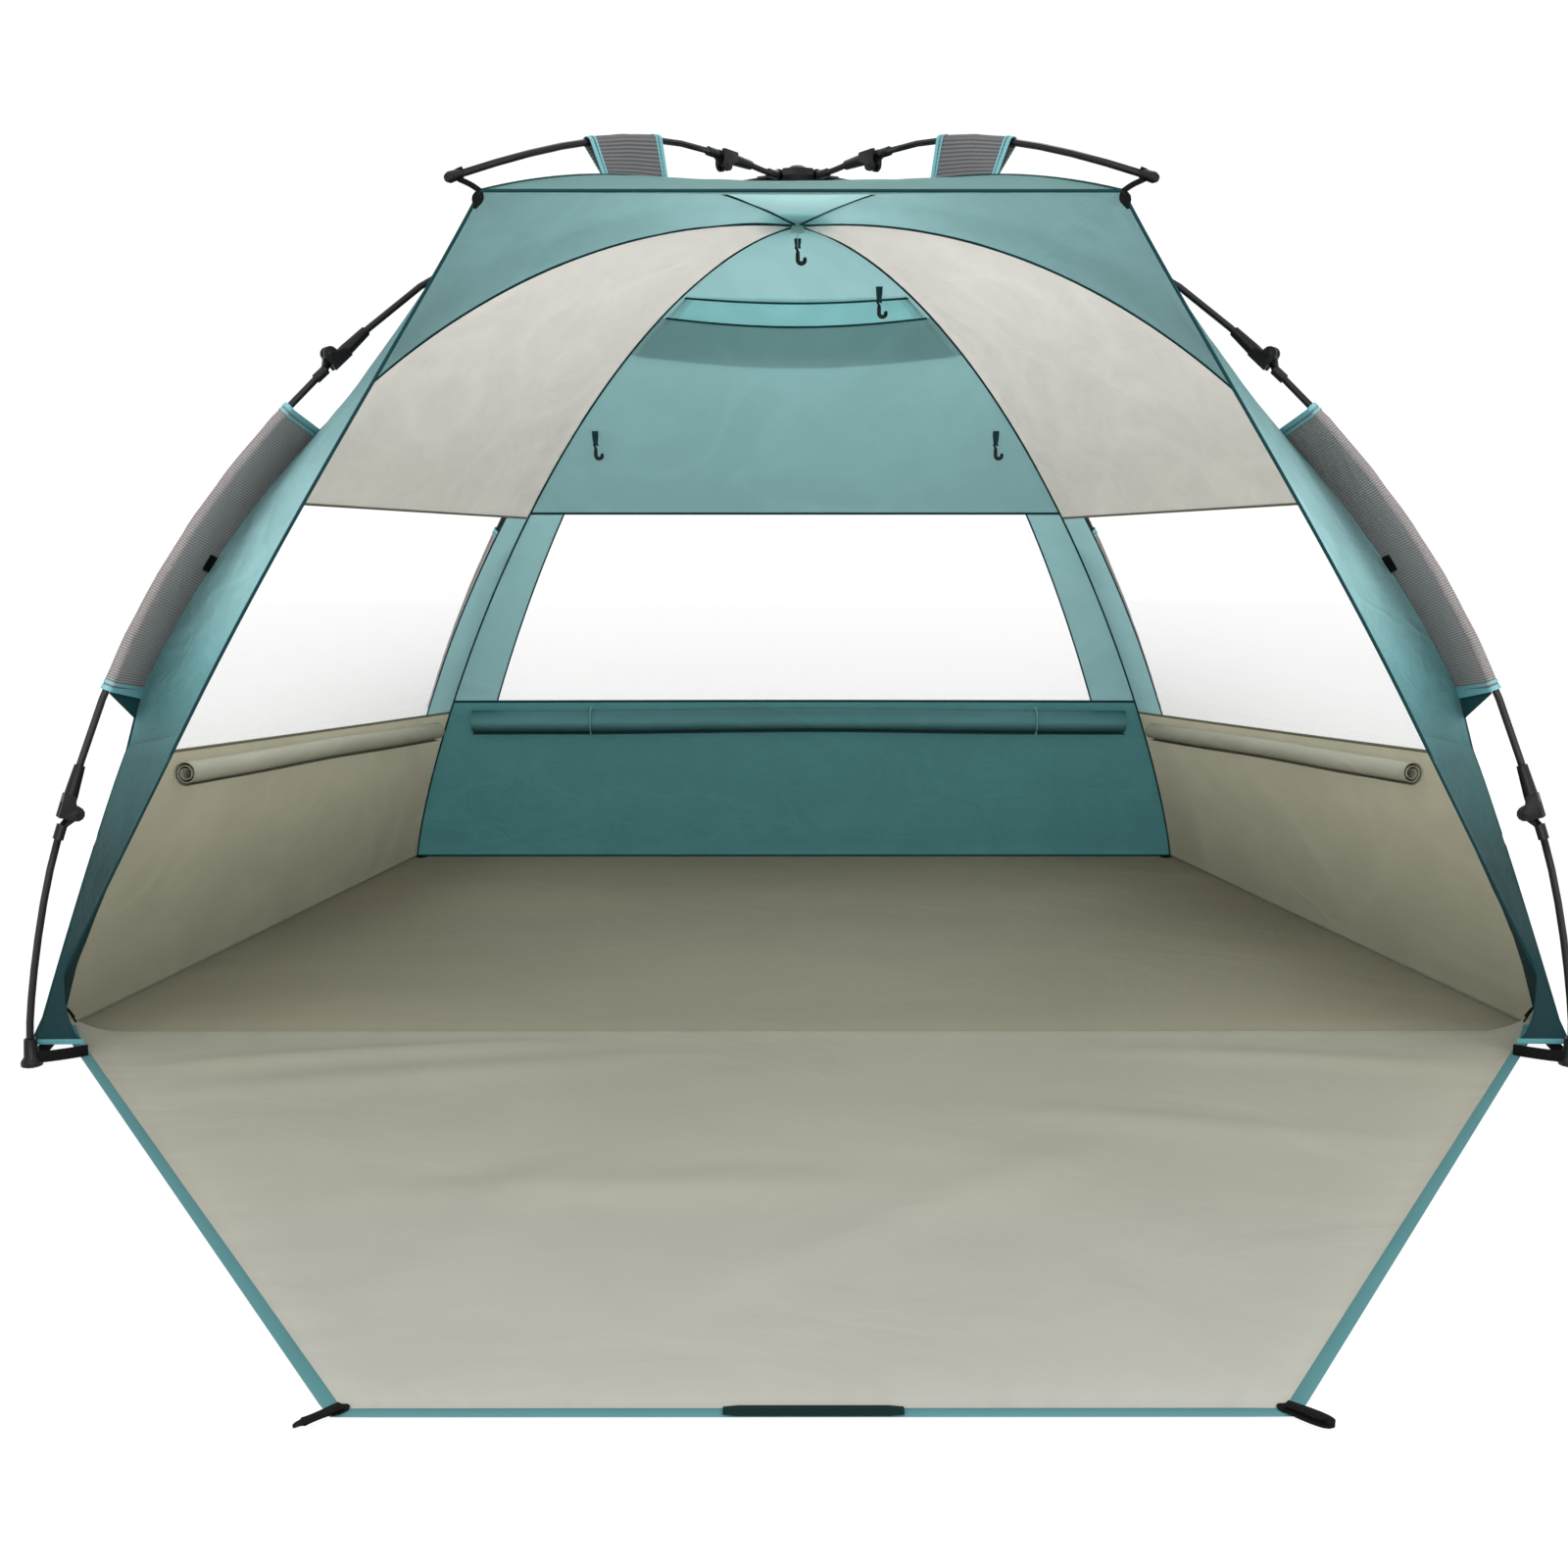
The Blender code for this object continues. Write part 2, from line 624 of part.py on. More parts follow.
def socket_mesh():
    """Clevis: a tapered barrel with a blind bore for the rod, two cheeks and the pin across them."""
    bore = ROD_RADIUS + TOUCH
    barrel = turned(
        [
            (-SOCKET_BORE_END, 0),
            (-SOCKET_BORE_END, bore),
            (-SOCKET_LENGTH, bore),
            (-SOCKET_LENGTH, SOCKET_THIN_RADIUS),
            (-SOCKET_WEB_END, SOCKET_THICK_RADIUS),
            (-SLOT_BACK - TOUCH, SOCKET_THICK_RADIUS),
            (-SLOT_BACK - TOUCH, 0),
        ]
    )
    item = helper("socket", mesh_from(barrel, "socket"))
    base = -SOCKET_THICK_RADIUS
    cheek = arc_points((0, PIVOT_OFFSET), CHEEK_REACH, 0, 180, 6)
    web = -SOCKET_WEB_END
    outline = [(web, base), (CHEEK_REACH, base), *cheek, (-CHEEK_REACH, SOCKET_THICK_RADIUS), (web, -base / 2)]
    boolean(item, "UNION", helper("cheeks", mesh_from(plate(outline, SOCKET_HALF), "cheeks")))
    reach = SOCKET_LENGTH
    slot_outline = [(-SLOT_BACK, -reach), (reach, -reach), (reach, reach), (-SLOT_BACK, reach)]
    boolean(item, "DIFFERENCE", helper("slot", mesh_from(plate(slot_outline, SLOT_HALF), "slot")))
    pin = cross_pin(PIN_RADIUS, SOCKET_HALF + TOUCH * 3, (0, PIVOT_OFFSET))
    boolean(item, "UNION", helper("pin", mesh_from(pin, "pin")))
    return evaluated_mesh(item, "knuckle_socket")


def tongue_mesh(offset, half, eye):
    """Tongue: a flat eye round the pin, which runs into the ferrule of the next rod."""
    neck = FERRULE_START + OVERRUN
    low = -FERRULE_RADIUS * 0.7
    high = FERRULE_RADIUS * 0.7
    if offset > 0:
        outline = [*arc_points((0, offset), eye, 60, 270, 7), (neck, low), (neck, high)]
    else:
        outline = [*arc_points((0, 0), eye, 60, 300, 8), (neck, low), (neck, high)]
    item = helper("tongue", mesh_from(plate(outline, half), "tongue"))
    ferrule = turned(
        [(FERRULE_START, 0), (FERRULE_START, FERRULE_RADIUS), (FERRULE_END, FERRULE_RADIUS), (FERRULE_END, 0)]
    )
    boolean(item, "UNION", helper("ferrule", mesh_from(ferrule, "ferrule")))
    hole = cross_pin(PIN_RADIUS + TOUCH, half + OVERRUN, (0, offset))
    boolean(item, "DIFFERENCE", helper("hole", mesh_from(hole, "hole")))
    return evaluated_mesh(item, "tongue")


SOCKET = socket_mesh()
TONGUE = tongue_mesh(PIVOT_OFFSET, TONGUE_HALF, EYE_RADIUS)
HUB_EYE = tongue_mesh(0, TONGUE_HALF, EYE_RADIUS)


# Frame members, each in the upright plane through the hub that it folds in


class Station:
    """A place on a pole with its own frame: along the pole, outward, and across the fold plane."""

    def __init__(self, place, along, outward):
        self.place = place
        self.along = along.normalized()
        self.across = self.along.cross(outward).normalized()
        self.outward = self.across.cross(self.along).normalized()

    def matrix(self, pivot_side=1):
        """The knuckle's frame. With pivot_side -1 the pin is on the inner side of the bend."""
        columns = (self.along, self.outward * pivot_side, self.across * pivot_side)
        turn = Matrix(columns).transposed().to_4x4()
        return Matrix.Translation(self.place) @ turn

    def pin(self, pivot_side=1):
        return self.place + self.outward * pivot_side * PIVOT_OFFSET


def outward_direction(x, y):
    return Vector((x, y, 0)).normalized()


def pole_station(foot, share, shares):
    """A place on a leg's arch, at a share of the foot's distance from the hub."""
    direction = outward_direction(*foot)
    reach = math.hypot(*foot)
    arch = reach + POLE_OVERREACH
    step = 0.002
    here, behind, ahead = (
        direction * reach * s + UP * arch_height(s * reach / arch, POLE_TOP, shares)
        for s in (share, share - step, share + step)
    )
    along = ahead - behind
    return Station(here, along, UP if share < 0.5 else direction)


def rod_path(start, start_along, end, end_along, steps=7, end_pull=1):
    """A smooth run between two straight ends."""
    pull = (end - start).length
    points = []
    for t in spread(0, 1, steps):
        lead = (2 * t**3 - 3 * t**2 + 1) * start + (t**3 - 2 * t**2 + t) * pull * start_along
        points.append(lead + (3 * t**2 - 2 * t**3) * end + (t**3 - t**2) * pull * end_pull * end_along)
    return points


def rod_mesh(name, points):
    curve = poly_curve(name, points, ROD_RADIUS, 2)
    item = helper(name, curve)
    data = evaluated_mesh(item, name)
    bpy.data.curves.remove(curve)
    return data


def rod_with_eye(name, eye, matrix, points, parent):
    """A rod whose end fitting is crimped on, as one piece."""
    item = add_object(name, rod_mesh(name, points), BLACK_ROD, parent)
    fitting = helper(f"{name}_fitting", eye)
    fitting.matrix_world = matrix
    boolean(item, "UNION", fitting)
    return item


def placed(name, data, matrix, material, parent):
    item = add_object(name, data, material, parent)
    item.matrix_basis = matrix
    return item


def foot_mesh():
    bore = ROD_RADIUS + TOUCH
    profile = [
        (0, 0),
        (0, FOOT_RADIUS),
        (FOOT_FLANGE, FOOT_RADIUS),
        (FOOT_FLANGE * 2, FOOT_NECK_RADIUS),
        (FOOT_HEIGHT, FOOT_NECK_RADIUS * 0.85),
        (FOOT_HEIGHT, bore),
        (FOOT_BORE_FLOOR, bore),
        (FOOT_BORE_FLOOR, 0),
    ]
    return mesh_from(turned(profile, Matrix.Rotation(-math.pi / 2, 4, "Y")), "foot")


FOOT = foot_mesh()


def hub_station(direction, tilt=0):
    place = direction * HUB_PIVOT_RADIUS + UP * POLE_TOP
    return Station(place, direction * math.cos(tilt) - UP * math.sin(tilt), UP)


def leg(name, foot, shares):
    """Three rods joined by two knuckles. The knee folds outwards and the ankle folds inwards."""
    direction = outward_direction(*foot)
    root = hub_station(direction, HUB_ARM_TILT)
    knee = pole_station(foot, KNEE_SHARE, shares)
    ankle = pole_station(foot, ANKLE_SHARE, shares)
    ground = Vector((*foot, 0))

    upper = pivot(f"{name}_hub_pivot", root.place)
    start = root.place + root.along * FERRULE_START * 1.3
    out = root.place + root.along * FERRULE_END
    stop = knee.place - knee.along * STUB
    end = knee.place - knee.along * (SOCKET_BORE_END + TOUCH)
    points = [start, *rod_path(out, root.along, stop, knee.along), end]
    rod_with_eye(f"{name}_upper_rod", HUB_EYE, root.matrix(), points, upper)
    placed(f"{name}_knee_socket", SOCKET, knee.matrix(), BLACK_PLASTIC, upper)

    middle = pivot(f"{name}_knee_pivot", knee.pin(), upper)
    start = knee.place + knee.along * FERRULE_START * 1.3
    out = knee.place + knee.along * FERRULE_END
    stop = ankle.place - ankle.along * STUB
    end = ankle.place - ankle.along * (SOCKET_BORE_END + TOUCH)
    points = [start, *rod_path(out, knee.along, stop, ankle.along), end]
    rod_with_eye(f"{name}_middle_rod", TONGUE, knee.matrix(), points, middle)
    placed(f"{name}_ankle_socket", SOCKET, ankle.matrix(-1), BLACK_PLASTIC, middle)

    lower = pivot(f"{name}_ankle_pivot", ankle.pin(-1), middle)
    start = ankle.place + ankle.along * FERRULE_START * 1.3
    out = ankle.place + ankle.along * FERRULE_END
    stop = ground + UP * (FOOT_HEIGHT + OVERRUN)
    end = ground + UP * (FOOT_BORE_FLOOR + TOUCH)
    points = [start, *rod_path(out, ankle.along, stop, -UP, 7, LOWER_END_PULL), end]
    rod_with_eye(f"{name}_lower_rod", TONGUE, ankle.matrix(-1), points, lower)
    placed(f"{name}_foot", FOOT, Matrix.Translation(ground), BLACK_PLASTIC, lower)


def awning_place(side, share):
    """A place on an awning arm's outer rod, from its elbow to its tip."""
    direction = outward_direction(side * AWNING_TIP_HALF, -AWNING_TIP_AHEAD)
    reach = math.hypot(AWNING_TIP_HALF, AWNING_TIP_AHEAD)
    out = ELBOW_OUT + (reach - ELBOW_OUT) * share
    height = ELBOW_HEIGHT + (AWNING_TIP_HEIGHT - ELBOW_HEIGHT) * share + 4 * AWNING_BOW * share * (1 - share)
    return direction * out + UP * height


def tip_mesh():
    bore = ROD_RADIUS + TOUCH
    closed = TIP_CAP_LENGTH - TIP_CAP_WALL
    profile = [
        (closed, 0),
        (closed, bore),
        (0, bore),
        (0, TIP_CAP_RADIUS * 0.9),
        (closed, TIP_CAP_RADIUS),
        (TIP_CAP_LENGTH, TIP_CAP_RADIUS * 0.7),
        (TIP_CAP_LENGTH, 0),
    ]
    return mesh_from(turned(profile), "tip_cap")


def awning_arm(side, name, cap):
    direction = outward_direction(side * AWNING_TIP_HALF, -AWNING_TIP_AHEAD)
    root = hub_station(direction)
    slope = direction * (ELBOW_OUT - HUB_PIVOT_RADIUS) + UP * (ELBOW_HEIGHT - POLE_TOP)
    elbow = Station(awning_place(side, 0), slope, UP)
    tip = Station(awning_place(side, 1), awning_place(side, 1) - awning_place(side, 0.97), UP)

    inner = pivot(f"awning_{name}_hub_pivot", root.place)
    start = root.place + root.along * FERRULE_START * 1.3
    out = root.place + root.along * FERRULE_END
    stop = elbow.place - elbow.along * STUB
    end = elbow.place - elbow.along * (SOCKET_BORE_END + TOUCH)
    points = [start, *rod_path(out, root.along, stop, elbow.along, 2), end]
    rod_with_eye(f"awning_{name}_inner_rod", HUB_EYE, root.matrix(), points, inner)
    placed(f"awning_{name}_elbow_socket", SOCKET, elbow.matrix(-1), BLACK_PLASTIC, inner)

    outer = pivot(f"awning_{name}_elbow_pivot", elbow.pin(-1), inner)
    start = elbow.place + elbow.along * FERRULE_START * 1.3
    out = elbow.place + elbow.along * FERRULE_END
    stop = tip.place - tip.along * OVERRUN
    end = tip.place + tip.along * (TIP_CAP_LENGTH - TIP_CAP_WALL - TOUCH)
    points = [start, *rod_path(out, elbow.along, stop, tip.along, 8), end]
    rod_with_eye(f"awning_{name}_outer_rod", TONGUE, elbow.matrix(-1), points, outer)
    placed(f"awning_{name}_tip", cap, tip.matrix(), BLACK_PLASTIC, outer)


def hub(directions):
    """A slotted disc with a pin across each slot, a stem down to the crown, and a domed cap."""
    bottom = POLE_TOP - HUB_HALF_HEIGHT
    stem_bottom = CROWN_BOTTOM + CROWN_THICKNESS + TOUCH
    top = POLE_TOP + HUB_HALF_HEIGHT
    upright = Matrix.Rotation(-math.pi / 2, 4, "Y")
    profile = [
        (stem_bottom, 0),
        (stem_bottom, HUB_STEM_RADIUS * 1.6),
        (stem_bottom + OVERRUN, HUB_STEM_RADIUS),
        (bottom - OVERRUN, HUB_STEM_RADIUS),
        (bottom, HUB_SLOT_INNER),
        (bottom, HUB_RADIUS * 0.93),
        (POLE_TOP, HUB_RADIUS),
        (top, HUB_RADIUS * 0.93),
        (top, 0),
    ]
    body = add_object("hub_body", mesh_from(turned(profile, upright, 24), "hub_body"), BLACK_PLASTIC)
    for number, direction in enumerate(directions):
        turn = Station(Vector((0, 0, POLE_TOP)), direction, UP).matrix()
        reach = HUB_RADIUS + OVERRUN
        tall = HUB_HALF_HEIGHT + OVERRUN
        slot = plate([(HUB_SLOT_INNER, -tall), (reach, -tall), (reach, tall), (HUB_SLOT_INNER, tall)], SLOT_HALF)
        bmesh.ops.transform(slot, matrix=turn, verts=slot.verts)
        boolean(body, "DIFFERENCE", helper(f"hub_slot_{number}", mesh_from(slot, "hub_slot")))
    for number, direction in enumerate(directions):
        turn = Station(Vector((0, 0, POLE_TOP)), direction, UP).matrix()
        pin = cross_pin(PIN_RADIUS, SLOT_HALF + OVERRUN / 4, (HUB_PIVOT_RADIUS, 0))
        bmesh.ops.transform(pin, matrix=turn, verts=pin.verts)
        boolean(body, "UNION", helper(f"hub_pin_{number}", mesh_from(pin, "hub_pin")))
    seat = top + TOUCH
    dome = [
        (seat, 0),
        (seat, HUB_CAP_RADIUS),
        (seat + HUB_CAP_HEIGHT * 0.45, HUB_CAP_RADIUS * 0.95),
        (seat + HUB_CAP_HEIGHT * 0.85, HUB_CAP_RADIUS * 0.65),
        (seat + HUB_CAP_HEIGHT, 0),
    ]
    data = mesh_from(turned(dome, upright, 16), "hub_cap")
    shade(data)
    add_object("hub_cap", data, BLACK_PLASTIC)


def hook_tab(pin):
    """Webbing loop that a hook hangs on: a strap with a window, whose lower bar is at the given pin."""
    bar = HOOK_TAB_BAR / 2
    half_width = HOOK_TAB_WIDTH / 2
    low, high = -bar, HOOK_TAB_LENGTH
    strap = plate([(-half_width, low), (half_width, low), (half_width, high), (-half_width, high)], HOOK_TAB_HALF)
    inner = half_width - HOOK_TAB_SIDE
    window = plate([(-inner, bar), (inner, bar), (inner, HOOK_TAB_WINDOW), (-inner, HOOK_TAB_WINDOW)], OVERRUN)
    columns = (Vector((0, 1, 0)), UP, Vector((1, 0, 0)))
    turn = Matrix.Translation(pin) @ Matrix(columns).transposed().to_4x4()
    for bm in (strap, window):
        bmesh.ops.transform(bm, matrix=turn, verts=bm.verts)
    item = helper("strap", mesh_from(strap, "strap"))
    boolean(item, "DIFFERENCE", helper("strap_window", mesh_from(window, "strap_window")))
    return helper("hook_tab", evaluated_mesh(item, "hook_tab"))


def hook(name, pin):
    """An open hook bent from wire, whose top ring turns on the bar of its tab."""
    ring = arc_points((0, 0), HOOK_RING, -45, 225, 7)
    drop = -HOOK_RING * 1.9
    bend = arc_points((HOOK_BEND, -HOOK_SHANK), HOOK_BEND, 180, 385, 7)
    points = [pin + Vector((x, 0, z)) for x, z in [*ring, (0, drop), *bend]]
    add_object(name, poly_curve(name, points, HOOK_WIRE, 1), BLACK_PLASTIC, pivot(f"{name}_swing", pin))


def hook_pin_on_wall(side, height):
    """The bar of a hook's tab below the back wall, beside its seam."""
    share = HOOK_SEAM_OFFSET / (2 * back_seam_at(1, height).x)
    column = share if side < 0 else 1 - share
    return back_wall_point(column, height) - UP * (HOOK_TAB_LENGTH - FABRIC * 0.6)


SIDE_HOOK_HEIGHT = APEX_HEIGHT - SIDE_HOOK_DROP
HOOK_HEIGHTS = ((-1, SIDE_HOOK_HEIGHT), (1, SIDE_HOOK_HEIGHT), (1, VENT_TOP + VENT_HOOK_RISE))


def crown_patch():
    """The plate under the hub, with a plug through the crown that carries the middle hook's tab."""
    upright = Matrix.Rotation(-math.pi / 2, 4, "Y")
    top = CROWN_BOTTOM + CROWN_THICKNESS
    plug_bottom = APEX_HEIGHT - HUB_STEM_RADIUS
    profile = [
        (plug_bottom, 0),
        (plug_bottom, HUB_STEM_RADIUS),
        (CROWN_BOTTOM, HUB_STEM_RADIUS),
        (CROWN_BOTTOM, CROWN_RADIUS),
        (top, CROWN_RADIUS * 0.97),
        (top, 0),
    ]
    data = mesh_from(turned(profile, upright, 24), "crown_patch")
    item = add_object("crown_patch", data, BLACK_PLASTIC)
    pin = Vector((0, 0, plug_bottom + OVERRUN - HOOK_TAB_LENGTH))
    boolean(item, "UNION", hook_tab(pin))
    hook("apex_hook", pin)


def sleeve(name, stations):
    """Mesh sleeve: a tube round the rod with a web that reaches to the seam.

    Each station holds the rod's centre, its direction, and the seam's nearest place.
    """
    bm = bmesh.new()
    loops = []
    for centre, along, seam in stations:
        reach = seam - centre
        reach -= along * reach.dot(along)
        length = reach.length - SLEEVE_SEAM_GAP
        first = reach.normalized()
        second = along.cross(first).normalized()
        opening = math.degrees(math.asin(SLEEVE_WEB_HALF / SLEEVE_OUTER))
        ring = arc_points((0, 0), SLEEVE_OUTER, opening, 360 - opening, 7)
        outer = [(length, -SLEEVE_WEB_HALF), (length, SLEEVE_WEB_HALF), *ring]
        mouth = arc_points((0, 0), SLEEVE_BORE, -opening / 2, opening / 2, 1)
        inner = mouth + arc_points((0, 0), SLEEVE_BORE, opening, 360 - opening, 7)
        made = []
        for loop in (outer, inner):
            made.append([bm.verts.new(centre + first * x + second * y) for x, y in loop])
        loops.append(made)
    count = len(loops[0][0])
    for (outer, inner), (next_outer, next_inner) in zip(loops, loops[1:]):
        for n in range(count):
            m = (n + 1) % count
            bm.faces.new((outer[n], outer[m], next_outer[m], next_outer[n]))
            bm.faces.new((inner[m], inner[n], next_inner[n], next_inner[m]))
    for outer, inner in (loops[0], loops[-1]):
        for n in range(count):
            m = (n + 1) % count
            bm.faces.new((outer[n], inner[n], inner[m], outer[m]))
    data = mesh_from(bm, name)
    shade(data)
    add_object(name, data, SLEEVE_MESH)


def clipped(run, measure, limits, seam_of):
    """Sleeve stations on a rod's run between two limits of a measure that grows along it."""
    stations = []
    for here, ahead in zip(run, run[1:]):
        along = (ahead - here).normalized()
        first, last = measure(here), measure(ahead)
        if last < limits[0] or first > limits[1]:
            continue
        share = max(0, (limits[0] - first) / (last - first))
        centre = here.lerp(ahead, share)
        stations.append((centre, along, seam_of(centre)))
        if last > limits[1]:
            centre = here.lerp(ahead, (limits[1] - first) / (last - first))
            stations.append((centre, along, seam_of(centre)))
    return stations


def leg_sleeve(name, foot, shares, seam_at, side, heights):
    """The sleeve follows the rod's own run between the knuckles."""
    knee = pole_station(foot, KNEE_SHARE, shares)
    ankle = pole_station(foot, ANKLE_SHARE, shares)
    out = knee.place + knee.along * FERRULE_END
    stop = ankle.place - ankle.along * STUB
    run = rod_path(out, knee.along, stop, ankle.along, 7)
    sleeve(name, clipped(run, lambda point: -point.z, [-h for h in heights], lambda p: seam_at(side, p.z)))


def awning_sleeve(side, name):
    direction = outward_direction(side * AWNING_TIP_HALF, -AWNING_TIP_AHEAD)
    slope = direction * (ELBOW_OUT - HUB_PIVOT_RADIUS) + UP * (ELBOW_HEIGHT - POLE_TOP)
    elbow = Station(awning_place(side, 0), slope, UP)
    tip = Station(awning_place(side, 1), awning_place(side, 1) - awning_place(side, 0.97), UP)
    out = elbow.place + elbow.along * FERRULE_END
    stop = tip.place - tip.along * OVERRUN
    run = rod_path(out, elbow.along, stop, tip.along, 8)

    def share(point):
        return -point.y / HOOD_CORNER_AHEAD

    stations = clipped(run, share, AWNING_SLEEVE_SHARES, lambda point: hood_seam(side, share(point)))
    sleeve(f"awning_{name}_sleeve", stations)


def build():
    floor()
    porch()
    wall = back_wall()
    vent_flap()
    hood()
    rolled_flaps()
    for side, name in ((-1, "left"), (1, "right")):
        side_wall(side, name)
    for number, (side, height) in enumerate(HOOK_HEIGHTS):
        pin = hook_pin_on_wall(side, height)
        boolean(wall, "UNION", hook_tab(pin))
        hook(("left_hook", "right_hook", "vent_hook")[number], pin)
    crown_patch()
    cap = tip_mesh()
    directions = []
    for side, name in ((-1, "left"), (1, "right")):
        front = (side * FRONT_FOOT[0], -FRONT_FOOT[1])
        back = (side * BACK_FOOT[0], BACK_FOOT[1])
        leg(f"front_{name}", front, FRONT_POLE_SHARES)
        leg(f"back_{name}", back, BACK_POLE_SHARES)
        awning_arm(side, name, cap)
        heights = FRONT_SLEEVE_HEIGHTS
        leg_sleeve(f"front_{name}_sleeve", front, FRONT_POLE_SHARES, front_seam_at, side, heights)
        heights = BACK_SLEEVE_HEIGHTS
        leg_sleeve(f"back_{name}_sleeve", back, BACK_POLE_SHARES, back_seam_at, side, heights)
        awning_sleeve(side, name)
        directions += [
            outward_direction(*front),
            outward_direction(*back),
            outward_direction(side * AWNING_TIP_HALF, -AWNING_TIP_AHEAD),
        ]
    hub(directions)


build()
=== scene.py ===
"""Dresses the pop-up beach tent: sewn panels, nets, rolled flaps, sleeves, bindings, webbing and frame finishes."""

import json
import math
from functools import partial

import bmesh
import bpy
from bpy.props import FloatProperty, FloatVectorProperty, IntProperty, PointerProperty
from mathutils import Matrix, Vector, noise


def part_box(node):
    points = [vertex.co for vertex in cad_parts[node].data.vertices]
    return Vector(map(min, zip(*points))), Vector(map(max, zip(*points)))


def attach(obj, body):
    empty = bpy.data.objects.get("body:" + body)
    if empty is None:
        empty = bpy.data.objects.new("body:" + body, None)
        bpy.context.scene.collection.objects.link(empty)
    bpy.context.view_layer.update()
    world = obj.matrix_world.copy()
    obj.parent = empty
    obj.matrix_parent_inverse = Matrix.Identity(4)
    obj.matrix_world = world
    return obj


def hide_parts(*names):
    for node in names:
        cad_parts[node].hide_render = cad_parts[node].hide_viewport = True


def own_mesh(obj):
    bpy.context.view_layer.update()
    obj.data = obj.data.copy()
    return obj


bl_info = {
    "name": "Beach Tent",
    "version": (1, 0, 0),
    "blender": (4, 5, 0),
    "location": "3D View > Sidebar > Beach Tent",
    "description": "Builds the cloth, webbing and finishes of a pop-up beach tent on its frame",
    "category": "Add Mesh",
}

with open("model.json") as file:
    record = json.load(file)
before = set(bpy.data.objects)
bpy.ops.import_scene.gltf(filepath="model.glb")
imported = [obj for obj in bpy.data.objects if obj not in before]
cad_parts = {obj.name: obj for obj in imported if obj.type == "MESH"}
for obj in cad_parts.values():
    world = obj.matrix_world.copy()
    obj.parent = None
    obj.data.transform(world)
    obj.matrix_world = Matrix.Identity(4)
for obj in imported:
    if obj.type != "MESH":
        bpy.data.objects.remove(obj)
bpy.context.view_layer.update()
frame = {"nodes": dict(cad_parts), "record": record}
CANOPY = "canopy"
PORCH = "porch_sheet"
SIDES = ((-1, "left"), (1, "right"))
UP = Vector((0, 0, 1))
FRONT = Vector((0, -1, 0))

# Sizes that the cloth shares with the frame
APEX_HEIGHT = 1.359
FLOOR_FRONT_HALF = 1.200
FLOOR_BACK_HALF = 0.929
THRESHOLD_AHEAD = 0.610
FLOOR_BACK_BEHIND = 0.812
FRONT_ARCH_SHARES = (2.0, 0.6)
SKIRT_TOP = APEX_HEIGHT * 0.405
BACK_ARCH_SHARES = (1.7, 0.8)
BACK_BOW = 0.050
HOOD_CORNER_HALF = 0.473
HOOD_CORNER_AHEAD = 0.650
HOOD_CORNER_HEIGHT = 1.299
HOOD_SEAM_RISE = 0.050
HOOD_FOOT_HALF = 1.165
HOOD_FOOT_AHEAD = 0.700
HOOD_EDGE_BOW = 0.250
HOOD_EDGE_TAIL = 0.042
HOOD_CORNER_SHARE = 0.36
WINDOW_TOP = 0.835
BACK_SILL = 0.397
SIDE_WINDOW_TOP = 0.825
SIDE_SILL = 0.370
SIDE_TOP_RISE = 0.0255
SIDE_RISE_END = 1.1
SIDE_SILL_RISE = 0.072
BACK_WINDOW_SHARES = (0.064, 0.936)
SIDE_WINDOW_SHARES = (0.05, 0.897)
BACK_ROLL_RADIUS = 0.031
BACK_ROLL_SHARES = (0.036, 0.976)
SIDE_ROLL_RADIUS = 0.0225
SIDE_ROLL_SHARES = (0.115, 0.92)
ROLL_DROP = 0.004
VENT_BOTTOM = 1.222
VENT_TOP = 1.256
VENT_SAG = 0.012
VENT_SHARES = (0.03, 0.97)
VENT_FLAP_BOTTOM = 1.150
VENT_FLAP_STANDOFF = 0.034
PORCH_DEPTH = 1.150
PORCH_BACK_HALF = 1.175
PORCH_FRONT_HALF = 0.437
CROWN_SHARE = 0.0096
FLOOR_TOP = 0.0028
POLE_TOP = 1.440
FRONT_FOOT = (1.171, -0.771)
BACK_FOOT = (0.979, 0.856)
FRONT_POLE_SHARES = (2.0, 0.585)
BACK_POLE_SHARES = (1.7, 0.8)
POLE_OVERREACH = 0.003
KNEE_SHARE = 0.632
ANKLE_SHARE = 0.948
FERRULE_END = 0.044
STUB = 0.078
FRONT_SLEEVE_HEIGHTS = (POLE_TOP * 0.692, POLE_TOP * 0.3924)
BACK_SLEEVE_HEIGHTS = (POLE_TOP * 0.5556, POLE_TOP * 0.2604)
SLEEVE_TAB_HEIGHT = 0.778
ELBOW_OUT = 0.210
ELBOW_HEIGHT = 1.448
AWNING_TIP = (0.503, -0.640, 1.325)
AWNING_BOW = 0.029
HUB_PIVOT_RADIUS = 0.042
AWNING_SLEEVE_SHARES = (0.46, 0.665)
HOOK_WIRE = 0.0019
HOOK_RING = 0.0036
HOOK_SHANK = 0.022
HOOK_BEND = 0.0068

# Sizes of the sewing
NET_THICKNESS = 0.0006
ROLL_THICKNESS = 0.0012
SLEEVE_THICKNESS = 0.0007
SLEEVE_RADIUS = 0.0078
# How far up the seam a front sleeve is sewn beside each place of its rod
SLEEVE_SLANT = 0.036
# A sleeve end's wide tape, and the two edges of the narrow tape beside it
WIDE_TAPE = 0.007
NARROW_TAPE = (0.011, 0.015)
TAPE_LIFT = 0.0012
NARROW_BINDING = 0.0018
FLAP_BINDING = 0.0022
WINDOW_BINDING = 0.0024
EDGE_BINDING = 0.0026
SEAM_HEIGHT = 0.004
